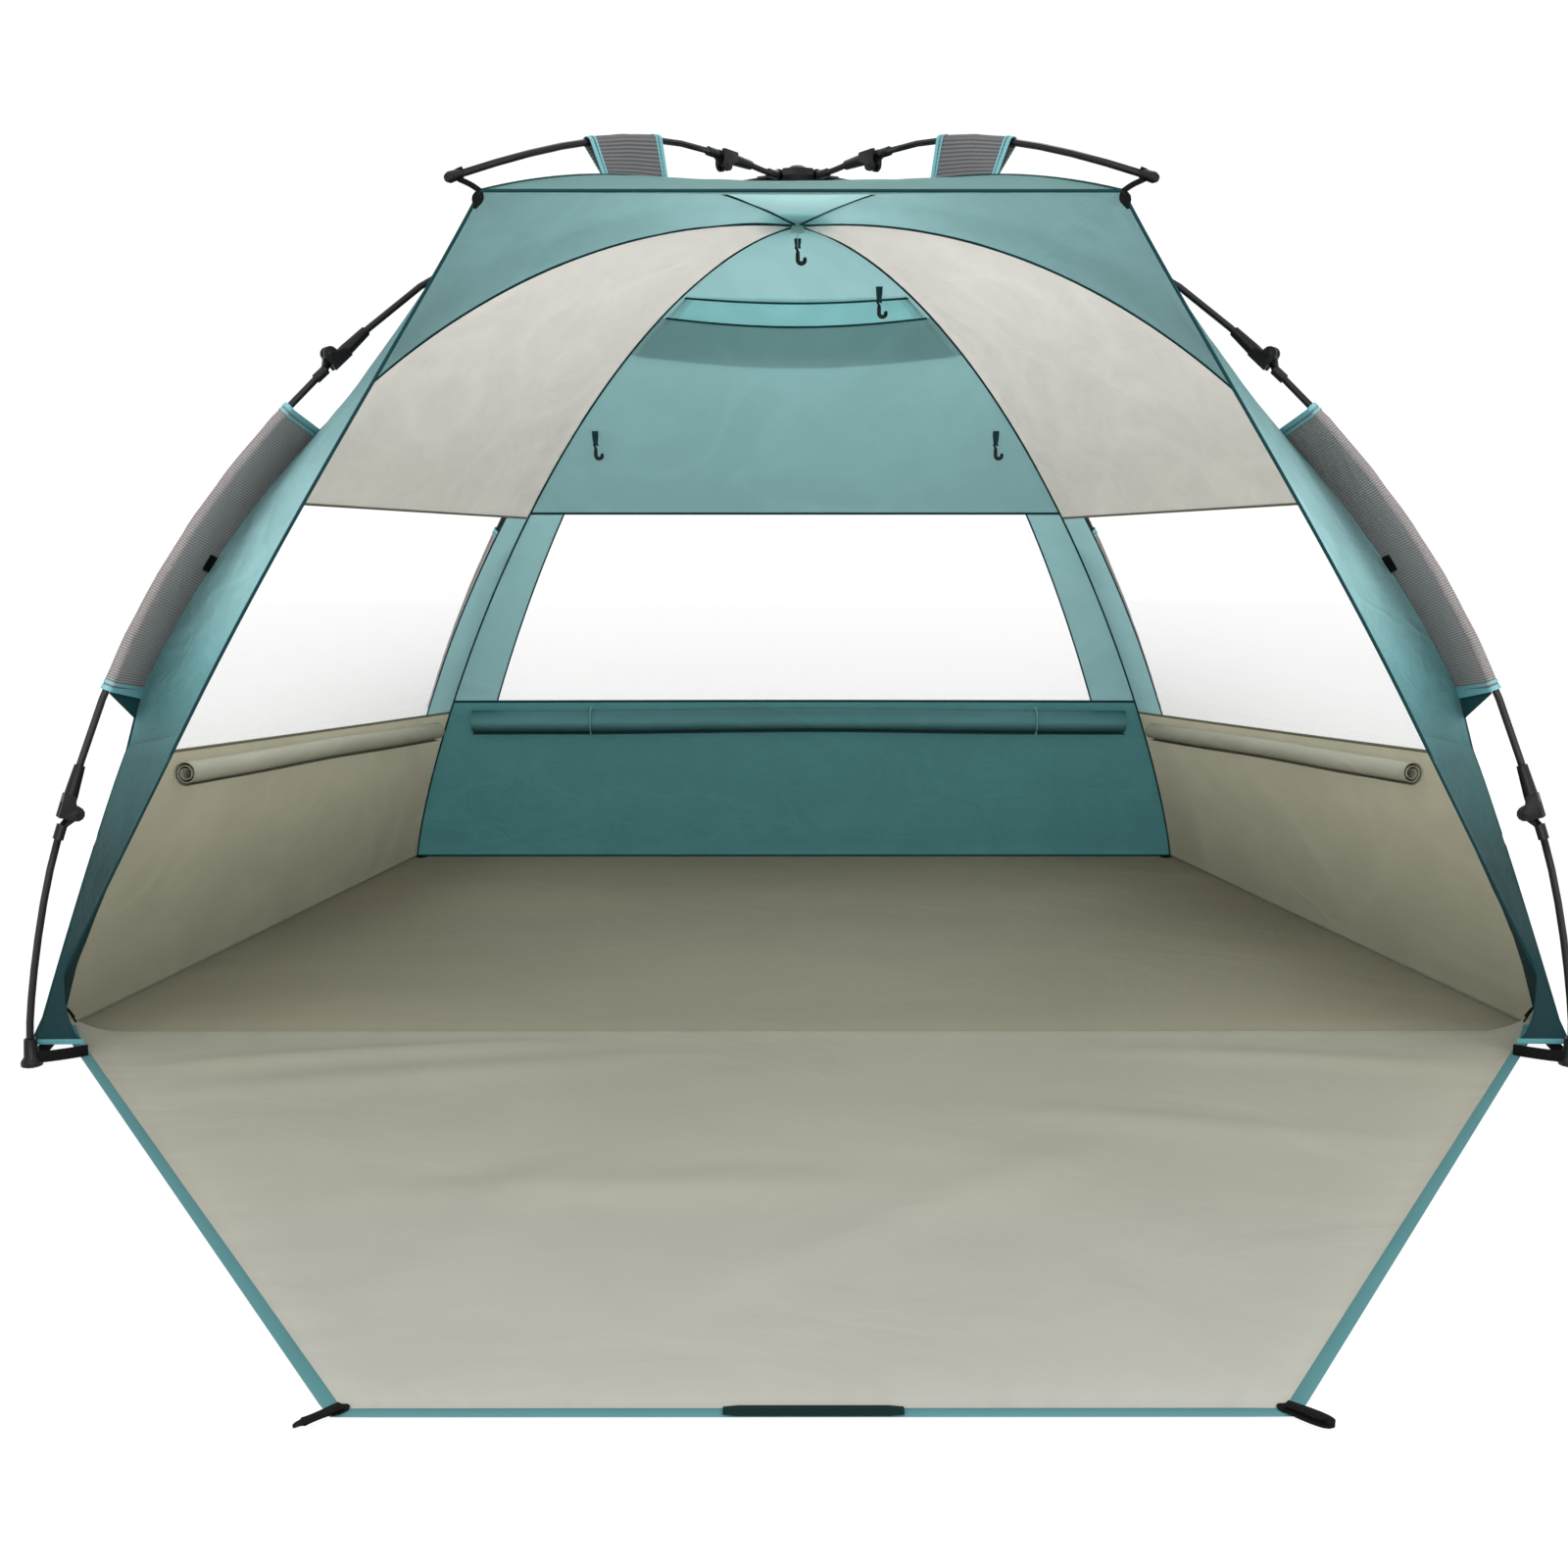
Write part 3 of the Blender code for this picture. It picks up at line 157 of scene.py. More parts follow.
# The skirt's two lower corners, and the ends of the band between its foot and the tent
SKIRT_OUTER_FOOT = (1.170, -0.752, 0.030)
SKIRT_INNER_FOOT = (1.102, -0.738, 0.026)
SKIRT_BAND = ((1.164, -0.776, 0.0135), (1.100, -0.735, 0.0120))
PORCH_HEM_END = 0.985
PORCH_PATCH_HALF = 0.084
MOULDED_EDGE = 0.0006
# A piece under this width is webbing, not a sheet
LEAST_SHEET = 0.01


# Lines of the canopy


def arch_height(share, shares, top=APEX_HEIGHT):
    return top * (1 - min(share, 1) ** shares[0]) ** shares[1]


def arch_share(height, shares):
    return (1 - (min(height, APEX_HEIGHT) / APEX_HEIGHT) ** (1 / shares[1])) ** (1 / shares[0])


def front_seam(side, share):
    """The front seam, which runs straight to the ground below the skirt's top."""
    skirt = arch_share(SKIRT_TOP, FRONT_ARCH_SHARES)
    if share > skirt:
        height = SKIRT_TOP * (1 - (min(share, 1) - skirt) / (1 - skirt))
    else:
        height = arch_height(share, FRONT_ARCH_SHARES)
    return Vector((side * FLOOR_FRONT_HALF * share, -THRESHOLD_AHEAD * share, height))


def back_seam(side, share):
    return Vector((side * FLOOR_BACK_HALF * share, FLOOR_BACK_BEHIND * share, arch_height(share, BACK_ARCH_SHARES)))


def front_seam_at(side, height):
    share = arch_share(max(height, SKIRT_TOP), FRONT_ARCH_SHARES)
    if height < SKIRT_TOP:
        share += (1 - share) * (1 - height / SKIRT_TOP)
    return front_seam(side, share)


def back_seam_at(side, height):
    return back_seam(side, arch_share(height, BACK_ARCH_SHARES))


def hood_seam(side, share):
    rise = 4 * HOOD_SEAM_RISE * share * (1 - share)
    height = APEX_HEIGHT + (HOOD_CORNER_HEIGHT - APEX_HEIGHT) * share + rise
    return Vector((side * HOOD_CORNER_HALF * share, -HOOD_CORNER_AHEAD * share, height))


def hood_edge(side, share):
    corner = hood_seam(side, 1)
    foot = Vector((side * HOOD_FOOT_HALF, -HOOD_FOOT_AHEAD, FLOOR_TOP))
    bow = HOOD_EDGE_BOW * share**1.5 * (1 - share) + HOOD_EDGE_TAIL * max(0, (share - 0.6) / 0.4) ** 2
    return corner.lerp(foot, share) + Vector((side * bow, 0, 0))


def crown_height(height, share_up):
    """Maps 0 to 1 above a height onto heights that crowd towards the crown."""
    top = arch_height(CROWN_SHARE, BACK_ARCH_SHARES)
    return height + (top - height) * (1 - (1 - share_up) ** 2)


def side_rise(level):
    """How much higher a level row of a side wall lies at the doorway than at the back."""
    if level < SIDE_SILL:
        return SIDE_SILL_RISE * level / SIDE_SILL
    if level < SIDE_WINDOW_TOP:
        share = (level - SIDE_SILL) / (SIDE_WINDOW_TOP - SIDE_SILL)
        return SIDE_SILL_RISE + (SIDE_TOP_RISE - SIDE_SILL_RISE) * share
    return SIDE_TOP_RISE * max(0, (SIDE_RISE_END - level) / (SIDE_RISE_END - SIDE_WINDOW_TOP))


def side_wall_point(side, share, level):
    height = level + side_rise(level) * (1 - share)
    return front_seam_at(side, height).lerp(back_seam_at(side, height), share)


def back_wall_point(share, height):
    point = back_seam_at(-1, height).lerp(back_seam_at(1, height), share)
    point.y += BACK_BOW * math.sin(math.pi * share) * height / APEX_HEIGHT
    return point


def vent_point(share, height):
    """The back wall round the roof vent, whose two edges hang a little in the middle."""
    if height < VENT_BOTTOM:
        near = max(0, 1 - (VENT_BOTTOM - height) / (VENT_BOTTOM - WINDOW_TOP))
    elif height < VENT_TOP:
        near = 1 - 0.65 * (height - VENT_BOTTOM) / (VENT_TOP - VENT_BOTTOM)
    else:
        near = 0.35 * max(0, 1 - (height - VENT_TOP) / (APEX_HEIGHT - VENT_TOP))
    return back_wall_point(share, height - VENT_SAG * near * math.sin(math.pi * share))


# Lines of the folding frame


def outward(x, y):
    return Vector((x, y, 0)).normalized()


def pole_place(foot, share, shares):
    """A place on a leg's arch and the direction along it."""
    reach = math.hypot(*foot)
    here, behind, ahead = (
        outward(*foot) * reach * s + UP * arch_height(s * reach / (reach + POLE_OVERREACH), shares, POLE_TOP)
        for s in (share, share - 0.002, share + 0.002)
    )
    return here, (ahead - behind).normalized()


def rod_path(start, start_along, end, end_along, steps=7):
    """A smooth run between two straight ends."""
    pull = (end - start).length
    points = []
    for t in spread(0, 1, steps):
        lead = (2 * t**3 - 3 * t**2 + 1) * start + (t**3 - 2 * t**2 + t) * pull * start_along
        points.append(lead + (3 * t**2 - 2 * t**3) * end + (t**3 - t**2) * pull * end_along)
    return points


def middle_rod_path(foot, shares):
    knee, knee_along = pole_place(foot, KNEE_SHARE, shares)
    ankle, ankle_along = pole_place(foot, ANKLE_SHARE, shares)
    return rod_path(knee + knee_along * FERRULE_END, knee_along, ankle - ankle_along * STUB, ankle_along)


def awning_place(side, share):
    direction = outward(side * AWNING_TIP[0], AWNING_TIP[1])
    out = ELBOW_OUT + (math.hypot(*AWNING_TIP[:2]) - ELBOW_OUT) * share
    height = ELBOW_HEIGHT + (AWNING_TIP[2] - ELBOW_HEIGHT) * share + 4 * AWNING_BOW * share * (1 - share)
    return direction * out + UP * height


def awning_rod_path(side):
    direction = outward(side * AWNING_TIP[0], AWNING_TIP[1])
    slope = (direction * (ELBOW_OUT - HUB_PIVOT_RADIUS) + UP * (ELBOW_HEIGHT - POLE_TOP)).normalized()
    tip = awning_place(side, 1)
    tip_along = (tip - awning_place(side, 0.97)).normalized()
    return rod_path(awning_place(side, 0) + slope * FERRULE_END, slope, tip - tip_along * 0.004, tip_along, 8)


# Runs of places


def spread(start, end, steps):
    return [start + (end - start) * n / steps for n in range(steps + 1)]


def straight(start, end, steps):
    return [start.lerp(end, s) for s in spread(0, 1, steps)]


def mirrored(side, place):
    return Vector((side * place[0], place[1], place[2]))


def run_length(points):
    return sum((b - a).length for a, b in zip(points, points[1:]))


def smoothed(points, rounds=2):
    """The points with their corners cut, twice by default."""
    for _ in range(rounds):
        cut = [points[0]]
        for a, b in zip(points, points[1:]):
            cut += [a.lerp(b, 0.25), a.lerp(b, 0.75)]
        points = [*cut, points[-1]]
    return points


# Shader expressions


class Signal:
    """A shader value that takes part in plain arithmetic."""

    def __init__(self, finish, socket):
        self.finish = finish
        self.socket = socket

    def maths(self, operation, *values):
        return self.finish.add("ShaderNodeMath", {"operation": operation}, dict(enumerate(values)))

    def __add__(self, other):
        return self.maths("ADD", self, other)

    def __radd__(self, other):
        return self.maths("ADD", other, self)

    def __sub__(self, other):
        return self.maths("SUBTRACT", self, other)

    def __rsub__(self, other):
        return self.maths("SUBTRACT", other, self)

    def __mul__(self, other):
        return self.maths("MULTIPLY", self, other)

    def __rmul__(self, other):
        return self.maths("MULTIPLY", other, self)

    def __truediv__(self, other):
        return self.maths("DIVIDE", self, other)

    def __pow__(self, other):
        return self.maths("POWER", self, other)

    def __abs__(self):
        return self.maths("ABSOLUTE", self)

    def sine(self):
        return self.maths("SINE", self)

    def least(self, other):
        return self.maths("MINIMUM", self, other)

    def clamped(self):
        return self.finish.add("ShaderNodeClamp", {}, {0: self})

    def near_edge(self, reach):
        """0 on the edge of a map that runs from 0 to 1, and 1 from a reach inside it."""
        return (self.least(1 - self) / reach).clamped()


class Finish:
    """A material whose nodes are written as expressions."""

    def __init__(self, name):
        self.material = bpy.data.materials.new(name)
        self.material.use_nodes = True
        self.tree = self.material.node_tree
        self.tree.nodes.clear()

    def add(self, kind, settings, values, output=0):
        """One node: its settings first, then the values or links of its sockets."""
        node = self.tree.nodes.new(kind)
        for name, setting in settings.items():
            if name == "stops":
                ramp = node.color_ramp
                while len(ramp.elements) < len(setting):
                    ramp.elements.new(0.5)
                for element, (place, colour) in zip(ramp.elements, setting, strict=True):
                    element.position = place
                    element.color = (*colour, 1)
            else:
                setattr(node, name, setting)
        for name, value in values.items():
            socket = node.inputs[name]
            if isinstance(value, Signal):
                self.tree.links.new(value.socket, socket)
            elif socket.type == "RGBA":
                socket.default_value = (*value, 1)
            else:
                socket.default_value = value
        return Signal(self, node.outputs[output])

    def place(self):
        return self.add("ShaderNodeTexCoord", {}, {}, "Object")

    def axes(self, vector):
        separate = self.add("ShaderNodeSeparateXYZ", {}, {0: vector})
        return [Signal(self, socket) for socket in separate.socket.node.outputs]

    def on_cloth(self, map_name="cloth"):
        """The two directions of a piece's own map: "cloth" in metres, or "panel" from 0 to 1."""
        return self.axes(self.add("ShaderNodeUVMap", {"uv_map": map_name}, {}))[:2]

    def point(self, x, y, z=0.0):
        return self.add("ShaderNodeCombineXYZ", {}, {0: x, 1: y, 2: z})

    def grain(self, vector, scale=1.0, detail=3.0, distortion=0.0, stretch=None):
        """Noise over a place, which stretch scales along each axis first."""
        if stretch is not None:
            vector = self.add("ShaderNodeMapping", {}, {"Vector": vector, "Scale": stretch})
        values = {"Vector": vector, "Scale": scale, "Detail": detail, "Distortion": distortion}
        return self.add("ShaderNodeTexNoise", {}, values)

    def mixed_colour(self, first, factor, second, blend="MIX"):
        settings = {"data_type": "RGBA", "blend_type": blend}
        return self.add("ShaderNodeMix", settings, {0: factor, 6: first, 7: second}, 2)

    def shaded(self, colour, factor):
        """A colour multiplied by a factor."""
        grey = self.add("ShaderNodeCombineColor", {}, {0: factor, 1: factor, 2: factor})
        return self.mixed_colour(colour, 1.0, grey, "MULTIPLY")

    def bumped(self, height, strength=1.0, under=None):
        """A bump whose height is in metres."""
        values = {"Height": height, "Distance": 1.0, "Strength": strength}
        if under is not None:
            values["Normal"] = under
        return self.add("ShaderNodeBump", {}, values)

    def surface(self, colour, roughness, gloss, normal=None):
        values = {"Base Color": colour, "Roughness": roughness, "Specular IOR Level": gloss}
        if normal is not None:
            values["Normal"] = normal
        return self.add("ShaderNodeBsdfPrincipled", {}, values)

    def mixed(self, factor, first, second):
        return self.add("ShaderNodeMixShader", {}, {0: factor, 1: first, 2: second})

    def close(self, shader):
        node = self.tree.nodes.new("ShaderNodeOutputMaterial")
        self.tree.links.new(shader.socket, node.inputs[0])
        return self.material


def srgb(code):
    """A linear colour from a six-figure code."""
    values = [int(code[n : n + 2], 16) / 255 for n in (0, 2, 4)]
    return tuple(v / 12.92 if v <= 0.04045 else ((v + 0.055) / 1.055) ** 2.4 for v in values)


def rays(finish, across, up, centre, count, reach):
    """Puckers that run out from a place where the cloth is pulled, from -0.5 to 0.5."""
    a = across - centre[0]
    b = up - centre[1]
    angle = b.maths("ARCTAN2", b, a)
    distance = (a * a + b * b) ** 0.5
    wave = finish.grain(finish.point(angle * count, distance * 3), detail=1.0)
    fade = (1 - distance / reach).clamped()
    return (wave - 0.5) * fade * fade


def dye_and_painted_shade(finish, axes, cast, shades, axis):
    """The cloth's colour with painted light and shade, which changes along one axis: shades are (place on the axis,
    colour).
    """
    low, high = shades[0][0], shades[-1][0]
    along = ((axes[axis] - low) / (high - low)).clamped()
    stops = []
    for at, code in shades:
        stops.append(((at - low) / (high - low), tuple(a * b for a, b in zip(srgb(code), cast))))
    return finish.add("ShaderNodeValToRGB", {"stops": stops}, {0: along})


def cloth(
    name, cast, shades, axis=2, folds=1.0, fine=1.0, creased=1.0, glow=None, pulls=(), shadow=None, brighter=None
):
    """Woven polyester: painted light and shade along one axis, with yarns, soft creases and puckers where it is sewn
    and pulled; its folds and creases carry painted light and shade, and its sewn edges painted shade.

    cast names the setting that multiplies the shades; folds, fine and creased are the depths of the soft folds
    and of the small and the long creases; pulls are (axes, centre, count, reach) of puckers; glow is the colour
    of the light that comes through, with its share at two heights; shadow is the height, curve and depth of the
    painted shadow of a flap behind the cloth; brighter is how much brighter the middle is painted than
    a place that far to the side.
    """
    finish = Finish(name)
    look = bpy.context.scene.tent_cloth
    place = finish.place()
    axes = finish.axes(place)
    x, y, z = axes
    colour = dye_and_painted_shade(finish, axes, tuple(getattr(look, cast)), shades, axis)
    light = look.glow
    # Painted shadow of a flap behind the cloth, in the colour and in the light that comes through
    if shadow is not None:
        height, bend, gain = shadow
        shade = 1 - (1 - gain) * ((z - (height + x * x * bend)) / 0.003).clamped()
        colour = finish.shaded(colour, shade)
        light = shade * light
    # Painted light: the middle is painted brighter, in the colour and in the light that comes through
    if brighter is not None:
        far, gain = brighter
        middle = (1 - abs(x) / far).clamped()
        middle = middle * (0.6 + 0.5 * middle)
        colour = finish.shaded(colour, 1 + gain * middle)
        light = (1 + 0.7 * gain * middle) * light
    colour = finish.shaded(colour, 0.94 + 0.12 * finish.grain(place, 1.6))
    warp, weft = finish.on_cloth()
    yarns = (warp * 3600).sine() * (weft * 3600).sine()
    across, down = finish.on_cloth("panel")
    # Painted shade along the panel's sewn edges
    sewn = (0.90 + 0.10 * across.near_edge(0.02)) * (0.92 + 0.08 * down.near_edge(0.02))
    colour = finish.shaded(colour, sewn + 0.012 * yarns)
    pull = finish.grain(place, 1.0, 4.0, 1.2, (2.6, 2.6, 1.3))
    small = finish.grain(place, 1.0, 2.0, 1.6, (9.0, 9.0, 14.0))
    ridge = (1 - abs(2 * small - 1) * 4.0).clamped()
    broad = finish.grain(place, 1.0, 2.0, 1.4, (2.2, 2.2, 3.4))
    crease = (1 - abs(2 * broad - 1) * 7.0).clamped()
    height = pull * (0.0075 * folds) + ridge * (0.0004 * folds * fine) + crease * (0.0016 * creased)
    side_fade = 1 - across.near_edge(0.09)
    end_fade = 1 - down.near_edge(0.09)
    gathers = finish.grain(finish.point(down * 34, across * 5), detail=1.0) * side_fade * side_fade
    gathers = gathers + finish.grain(finish.point(across * 34, down * 5, 3.0), detail=1.0) * end_fade * end_fade
    height = height + gathers * (0.0016 * folds)
    for picked, centre, count, reach in pulls:
        height = height + rays(finish, abs(axes[picked[0]]), axes[picked[1]], centre, count, reach) * 0.008
    # Painted light and shade of the folds and creases, in the colour and in the light that comes through
    painted_fold_shading = 1 + (gathers + (pull - 0.5) * 0.7) * (0.15 * folds) + crease * (0.06 * creased) + ridge * (0.03 * fine)
    colour = finish.shaded(colour, painted_fold_shading)
    normal = finish.bumped(yarns * 0.00003, 0.35, finish.bumped(height, 0.8))
    front = finish.surface(colour, 0.62, 0.15, normal)
    if glow is None:
        return finish.close(front)
    code, (low, low_share), (high, high_share) = glow
    rise = ((z - low) / (high - low)).clamped()
    share = (low_share + (high_share - low_share) * rise) * (0.4 + 0.6 * painted_fold_shading) * light
    through = finish.add("ShaderNodeBsdfTranslucent", {}, {"Color": srgb(code)})
    return finish.close(finish.mixed(share.clamped(), front, through))


def net_finish(name, low, high, haze):
    """Fine see-through net: nearly clear, with a little haze towards its sill."""
    finish = Finish(name)
    warp, weft = finish.on_cloth()
    threads = abs((warp * 1570).sine()) * abs((weft * 1570).sine())
    z = finish.axes(finish.place())[2]
    depth = ((high - z) / (high - low)).clamped()
    cover = (0.015 + haze * depth * depth) * (1.1 - 0.3 * threads)
    clear = finish.add("ShaderNodeBsdfTransparent", {}, {"Color": (1, 1, 1)})
    return finish.close(finish.mixed(cover, clear, finish.surface((0.86, 0.86, 0.85), 0.8, 0.5)))


def sleeve_finish(name, thread, hole):
    """Grey air mesh with slanting rows of small holes."""
    finish = Finish(name)
    place = finish.place()
    warp, weft = finish.on_cloth()
    rows = ((warp + weft) * 780).sine() * ((warp - weft) * 780).sine()
    holes = ((rows - 0.15) / 0.2).clamped()
    colour = finish.mixed_colour(srgb(thread), holes, srgb(hole))
    colour = finish.shaded(colour, 0.90 + 0.2 * finish.grain(place, 9.0, 2.0))
    folds = finish.grain(place, 1.0, 3.0, 1.5, (14.0, 14.0, 9.0))
    normal = finish.bumped((1 - rows) * 0.0003 + folds * 0.004, 0.7)
    return finish.close(finish.surface(colour, 0.75, 0.2, normal))


def webbing_finish(name, code):
    """Ribbed webbing or binding tape."""
    finish = Finish(name)
    place = finish.place()
    x, y, z = finish.axes(place)
    rib = ((x + y + z) * 2200).sine()
    colour = finish.shaded(srgb(code), 0.90 + 0.16 * finish.grain(place, 7.0, 2.0) + 0.05 * rib)
    return finish.close(finish.surface(colour, 0.75, 0.12, finish.bumped(rib * 0.00012, 0.6)))


def moulded_finish(name):
    """Black moulded plastic with a fine spark-eroded grain and slightly rubbed faces."""
    finish = Finish(name)
    place = finish.place()
    skin = finish.grain(place, 380.0)
    rub = finish.grain(place, 24.0, 4.0)
    colour = finish.shaded(srgb("08080A"), 0.85 + 0.45 * rub)
    return finish.close(finish.surface(colour, 0.32 + 0.2 * rub, 0.25, finish.bumped(skin * 0.00008, 0.5)))


def rod_finish(name):
    """Black coated rod: satin, with faint drawn lines and scuffs."""
    finish = Finish(name)
    place = finish.place()
    lines = finish.grain(place, 1.0, 2.0, 0.0, (220.0, 220.0, 6.0))
    scuff = finish.grain(place, 18.0, 5.0)
    colour = finish.shaded(srgb("0B0B0D"), 0.8 + 0.5 * scuff)
    return finish.close(finish.surface(colour, 0.30 + 0.18 * scuff, 0.3, finish.bumped(lines * 0.00003, 0.5)))


# Painted light and shade of the hood's sides by height: darkest near the ground, lightest a little below the hood,
# darker again up under the roof
HOOD_PAINTED_SHADING = (
    (0.0, "0B2A2F"),
    (0.28, "163638"),
    (0.45, "355A5C"),
    (0.60, "68979A"),
    (0.74, "92BEC0"),
    (0.87, "9AC2C5"),
    (1.00, "7CA4A6"),
    (1.12, "5A8082"),
    (1.35, "527678"),
)
CROWN_PULL = ((0, 2), (0.0, 1.345), 9, 0.55)
HOOD_CORNER_PULL = ((0, 2), (HOOD_CORNER_HALF, HOOD_CORNER_HEIGHT), 8, 0.5)
ROOF_CORNER_PULL = ((0, 1), (HOOD_CORNER_HALF, -HOOD_CORNER_AHEAD), 8, 0.5)
WINDOW_CORNER_PULL = ((0, 2), (0.62, 0.85), 6, 0.35)
SIDE_WINDOW_PULL = ((0, 2), (0.985, 0.86), 7, 0.45)


def teal(*shades, **options):
    return "teal_fabric", cloth, {"cast": "teal_cast", "shades": shades, **options}


def sand(*shades, **options):
    return "sand_fabric", cloth, {"cast": "sand_cast", "shades": shades, **options}


def floor(slot, *shades, **options):
    return slot, cloth, {"cast": "ground_cast", "shades": shades, "axis": 1, **options}


def webbing(slot, code):
    return slot, webbing_finish, {"code": code}


# Every look: its material slot, its maker and what the maker is told. Shades paint light and shade into the
# cloth's colour and go by height above the ground, or on the roof and the ground by the place behind the hub.
LOOKS = {
    "hood": teal(
        *HOOD_PAINTED_SHADING,
        folds=1.4,
        fine=1.6,
        glow=("CEE7E8", (0.60, 0.04), (1.15, 0.50)),
        pulls=(HOOD_CORNER_PULL, CROWN_PULL),
        brighter=(0.62, 1.05),
    ),
    "roof": teal(
        (-0.65, "94BCBE"),
        (0.0, "9CC4C6"),
        axis=1,
        glow=("D4ECED", (1.2, 0.87), (1.4, 0.87)),
        pulls=(ROOF_CORNER_PULL,),
    ),
    "crown": teal((1.25, "8FB7B9"), (1.36, "98C0C2"), glow=("CEE7E8", (1.2, 0.68), (1.4, 0.73))),
    "back_upper": teal(
        (0.83, "638B8D"),
        (0.95, "6E9698"),
        (1.05, "769EA0"),
        (1.13, "87B0B2"),
        (1.23, "87B0B2"),
        glow=("CEE7E8", (0.83, 0.49), (1.2, 0.535)),
        pulls=(WINDOW_CORNER_PULL,),
        # Painted shadow of the vent's rain flap
        shadow=(1.132, 0.188, 0.70),
    ),
    "back_strip": teal(
        (0.39, "6B9193"), (0.60, "7DA3A6"), (0.84, "86AEB0"), glow=("CEE7E8", (0.39, 0.52), (0.84, 0.58))
    ),
    "back_lower": teal(
        (0.0, "3F6769"),
        (0.2, "426A6C"),
        (0.40, "4A7274"),
        folds=1.5,
        fine=1.8,
        glow=("A8DADB", (0.0, 0.30), (0.4, 0.36)),
    ),
    "side_strip": teal(
        (0.37, "6F9698"), (0.60, "86AEB0"), (0.84, "8FB7B9"), glow=("CEE7E8", (0.37, 0.62), (0.84, 0.66))
    ),
    "rain": teal((1.14, "6A9294"), (1.28, "7BA3A4"), glow=("E0F2F2", (1.1, 0.87), (1.3, 0.87))),
    # The hood's teal painted dark as shade, for the webs at the sleeves' lower ends
    "flare": teal((0.0, "163A3F"), (0.28, "204649")),
    # Painted highlight along the roll's lower middle, and painted shade at its top and bottom
    "teal_roll": teal(
        (0.335, "31575A"), (0.352, "4B7779"), (0.372, "3B6467"), (0.395, "234447"), folds=0.3, fine=0.3
    ),
    "vent_net": teal((1.22, "79A1A3"), (1.26, "8AB2B4"), folds=0.3, glow=("D4ECED", (1.2, 0.83), (1.3, 0.83))),
    "sand_lower": sand(
        (0.0, "6F6D5E"), (0.2, "7C7A6A"), (0.44, "97957F"), folds=1.3, glow=("F2F0E2", (0.0, 0.28), (0.4, 0.50))
    ),
    "sand_upper": sand(
        (0.83, "B5B5A9"),
        (1.0, "BABAB0"),
        (1.25, "CFCFC7"),
        (1.36, "D6D5D0"),
        folds=1.3,
        fine=1.8,
        glow=("F5F3F0", (0.83, 0.535), (1.36, 0.705)),
        pulls=(CROWN_PULL, SIDE_WINDOW_PULL),
    ),
    # Painted light and shade: the roll is painted lighter the higher it lies
    "sand_roll": sand((0.32, "8B8978"), (0.44, "B5B3A4"), folds=0.3, fine=0.3),
    # Painted light and shade along the groundsheet and the porch; the porch is painted darker towards the tent
    "ground": floor(
        "groundsheet", (-0.61, "868170"), (0.15, "797464"), (0.81, "948A77"), folds=1.2, fine=0.2, creased=0.25
    ),
    "porch": floor(
        "sand_fabric", (-1.76, "A1A098"), (-1.2, "9A978B"), (-0.61, "929082"), folds=1.3, fine=0.12, creased=0.12
    ),
    "back_net": ("window_net", net_finish, {"low": BACK_SILL, "high": WINDOW_TOP, "haze": 0.20}),
    "side_net": ("window_net", net_finish, {"low": SIDE_SILL, "high": SIDE_WINDOW_TOP, "haze": 0.34}),
    "sleeve": ("sleeve_mesh", sleeve_finish, {"thread": "766F6F", "hole": "B0AAA9"}),
    "awning_sleeve": ("sleeve_mesh", sleeve_finish, {"thread": "525153", "hole": "808082"}),
    "binding": webbing("teal_fabric", "0F3437"),
    "edge_binding": webbing("teal_fabric", "10363A"),
    "sand_binding": webbing("sand_fabric", "6E6B5E"),
    "trim": webbing("teal_fabric", "74B0B7"),
    "hem": webbing("teal_fabric", "4E7C7F"),
    "loop_webbing": webbing("teal_fabric", "4E8286"),
    "tie": webbing("teal_fabric", "8DB9BC"),
    "patch": webbing("teal_fabric", "06201F"),
    "black_webbing": webbing("black_plastic", "060607"),
    "plastic": ("black_plastic", moulded_finish, {}),
    "rod": ("black_rod", rod_finish, {}),
}
FINISHES = {}


def finish_of(look):
    """Every finish is made once."""
    if look not in FINISHES:
        _, maker, options = LOOKS[look]
        FINISHES[look] = maker(look, **options)
    return FINISHES[look]


# Sizes and colours that a user would change


def cast_property(label, description):
    return FloatVectorProperty(name=label, description=description, subtype="COLOR", size=3, default=(1, 1, 1))


def length_property(label, description, default, least):
    return FloatProperty(name=label, description=description, default=default, min=least, unit="LENGTH")


def power_property(label, description, default):
    return FloatProperty(name=label, description=description, default=default, min=0, unit="POWER")


class TentCloth(bpy.types.PropertyGroup):
    """Colours of the cloth."""

    teal_cast: cast_property("Teal cast", "Multiplies the shades of every teal panel")
    sand_cast: cast_property("Sand cast", "Multiplies the shades of the sand walls and their rolls")
    ground_cast: cast_property("Ground cast", "Multiplies the shades of the groundsheet and the porch")
    glow: FloatProperty(
        name="Glow",
        description="Multiplies the light that comes through the walls and the roof",
        default=1.0,
        min=0.0,
        max=1.1,
    )


class TentSizes(bpy.types.PropertyGroup):
    """Sizes of the sewing."""

    cloth_thickness: length_property("Cloth", "Thickness of the woven cloth", 0.0009, 0.0002)
    binding_radius: length_property("Binding", "Half the width of the tape over the seams", 0.0028, 0.0005)
    hem_width: length_property("Porch hem", "Width of the hem round the porch", 0.016, 0.002)
    pucker: length_property("Pucker", "Depth of the puckers of the panels", 0.0026, 0.0)
    fineness: IntProperty(name="Fineness", description="Grid cells along a metre of cloth", default=56, min=6)


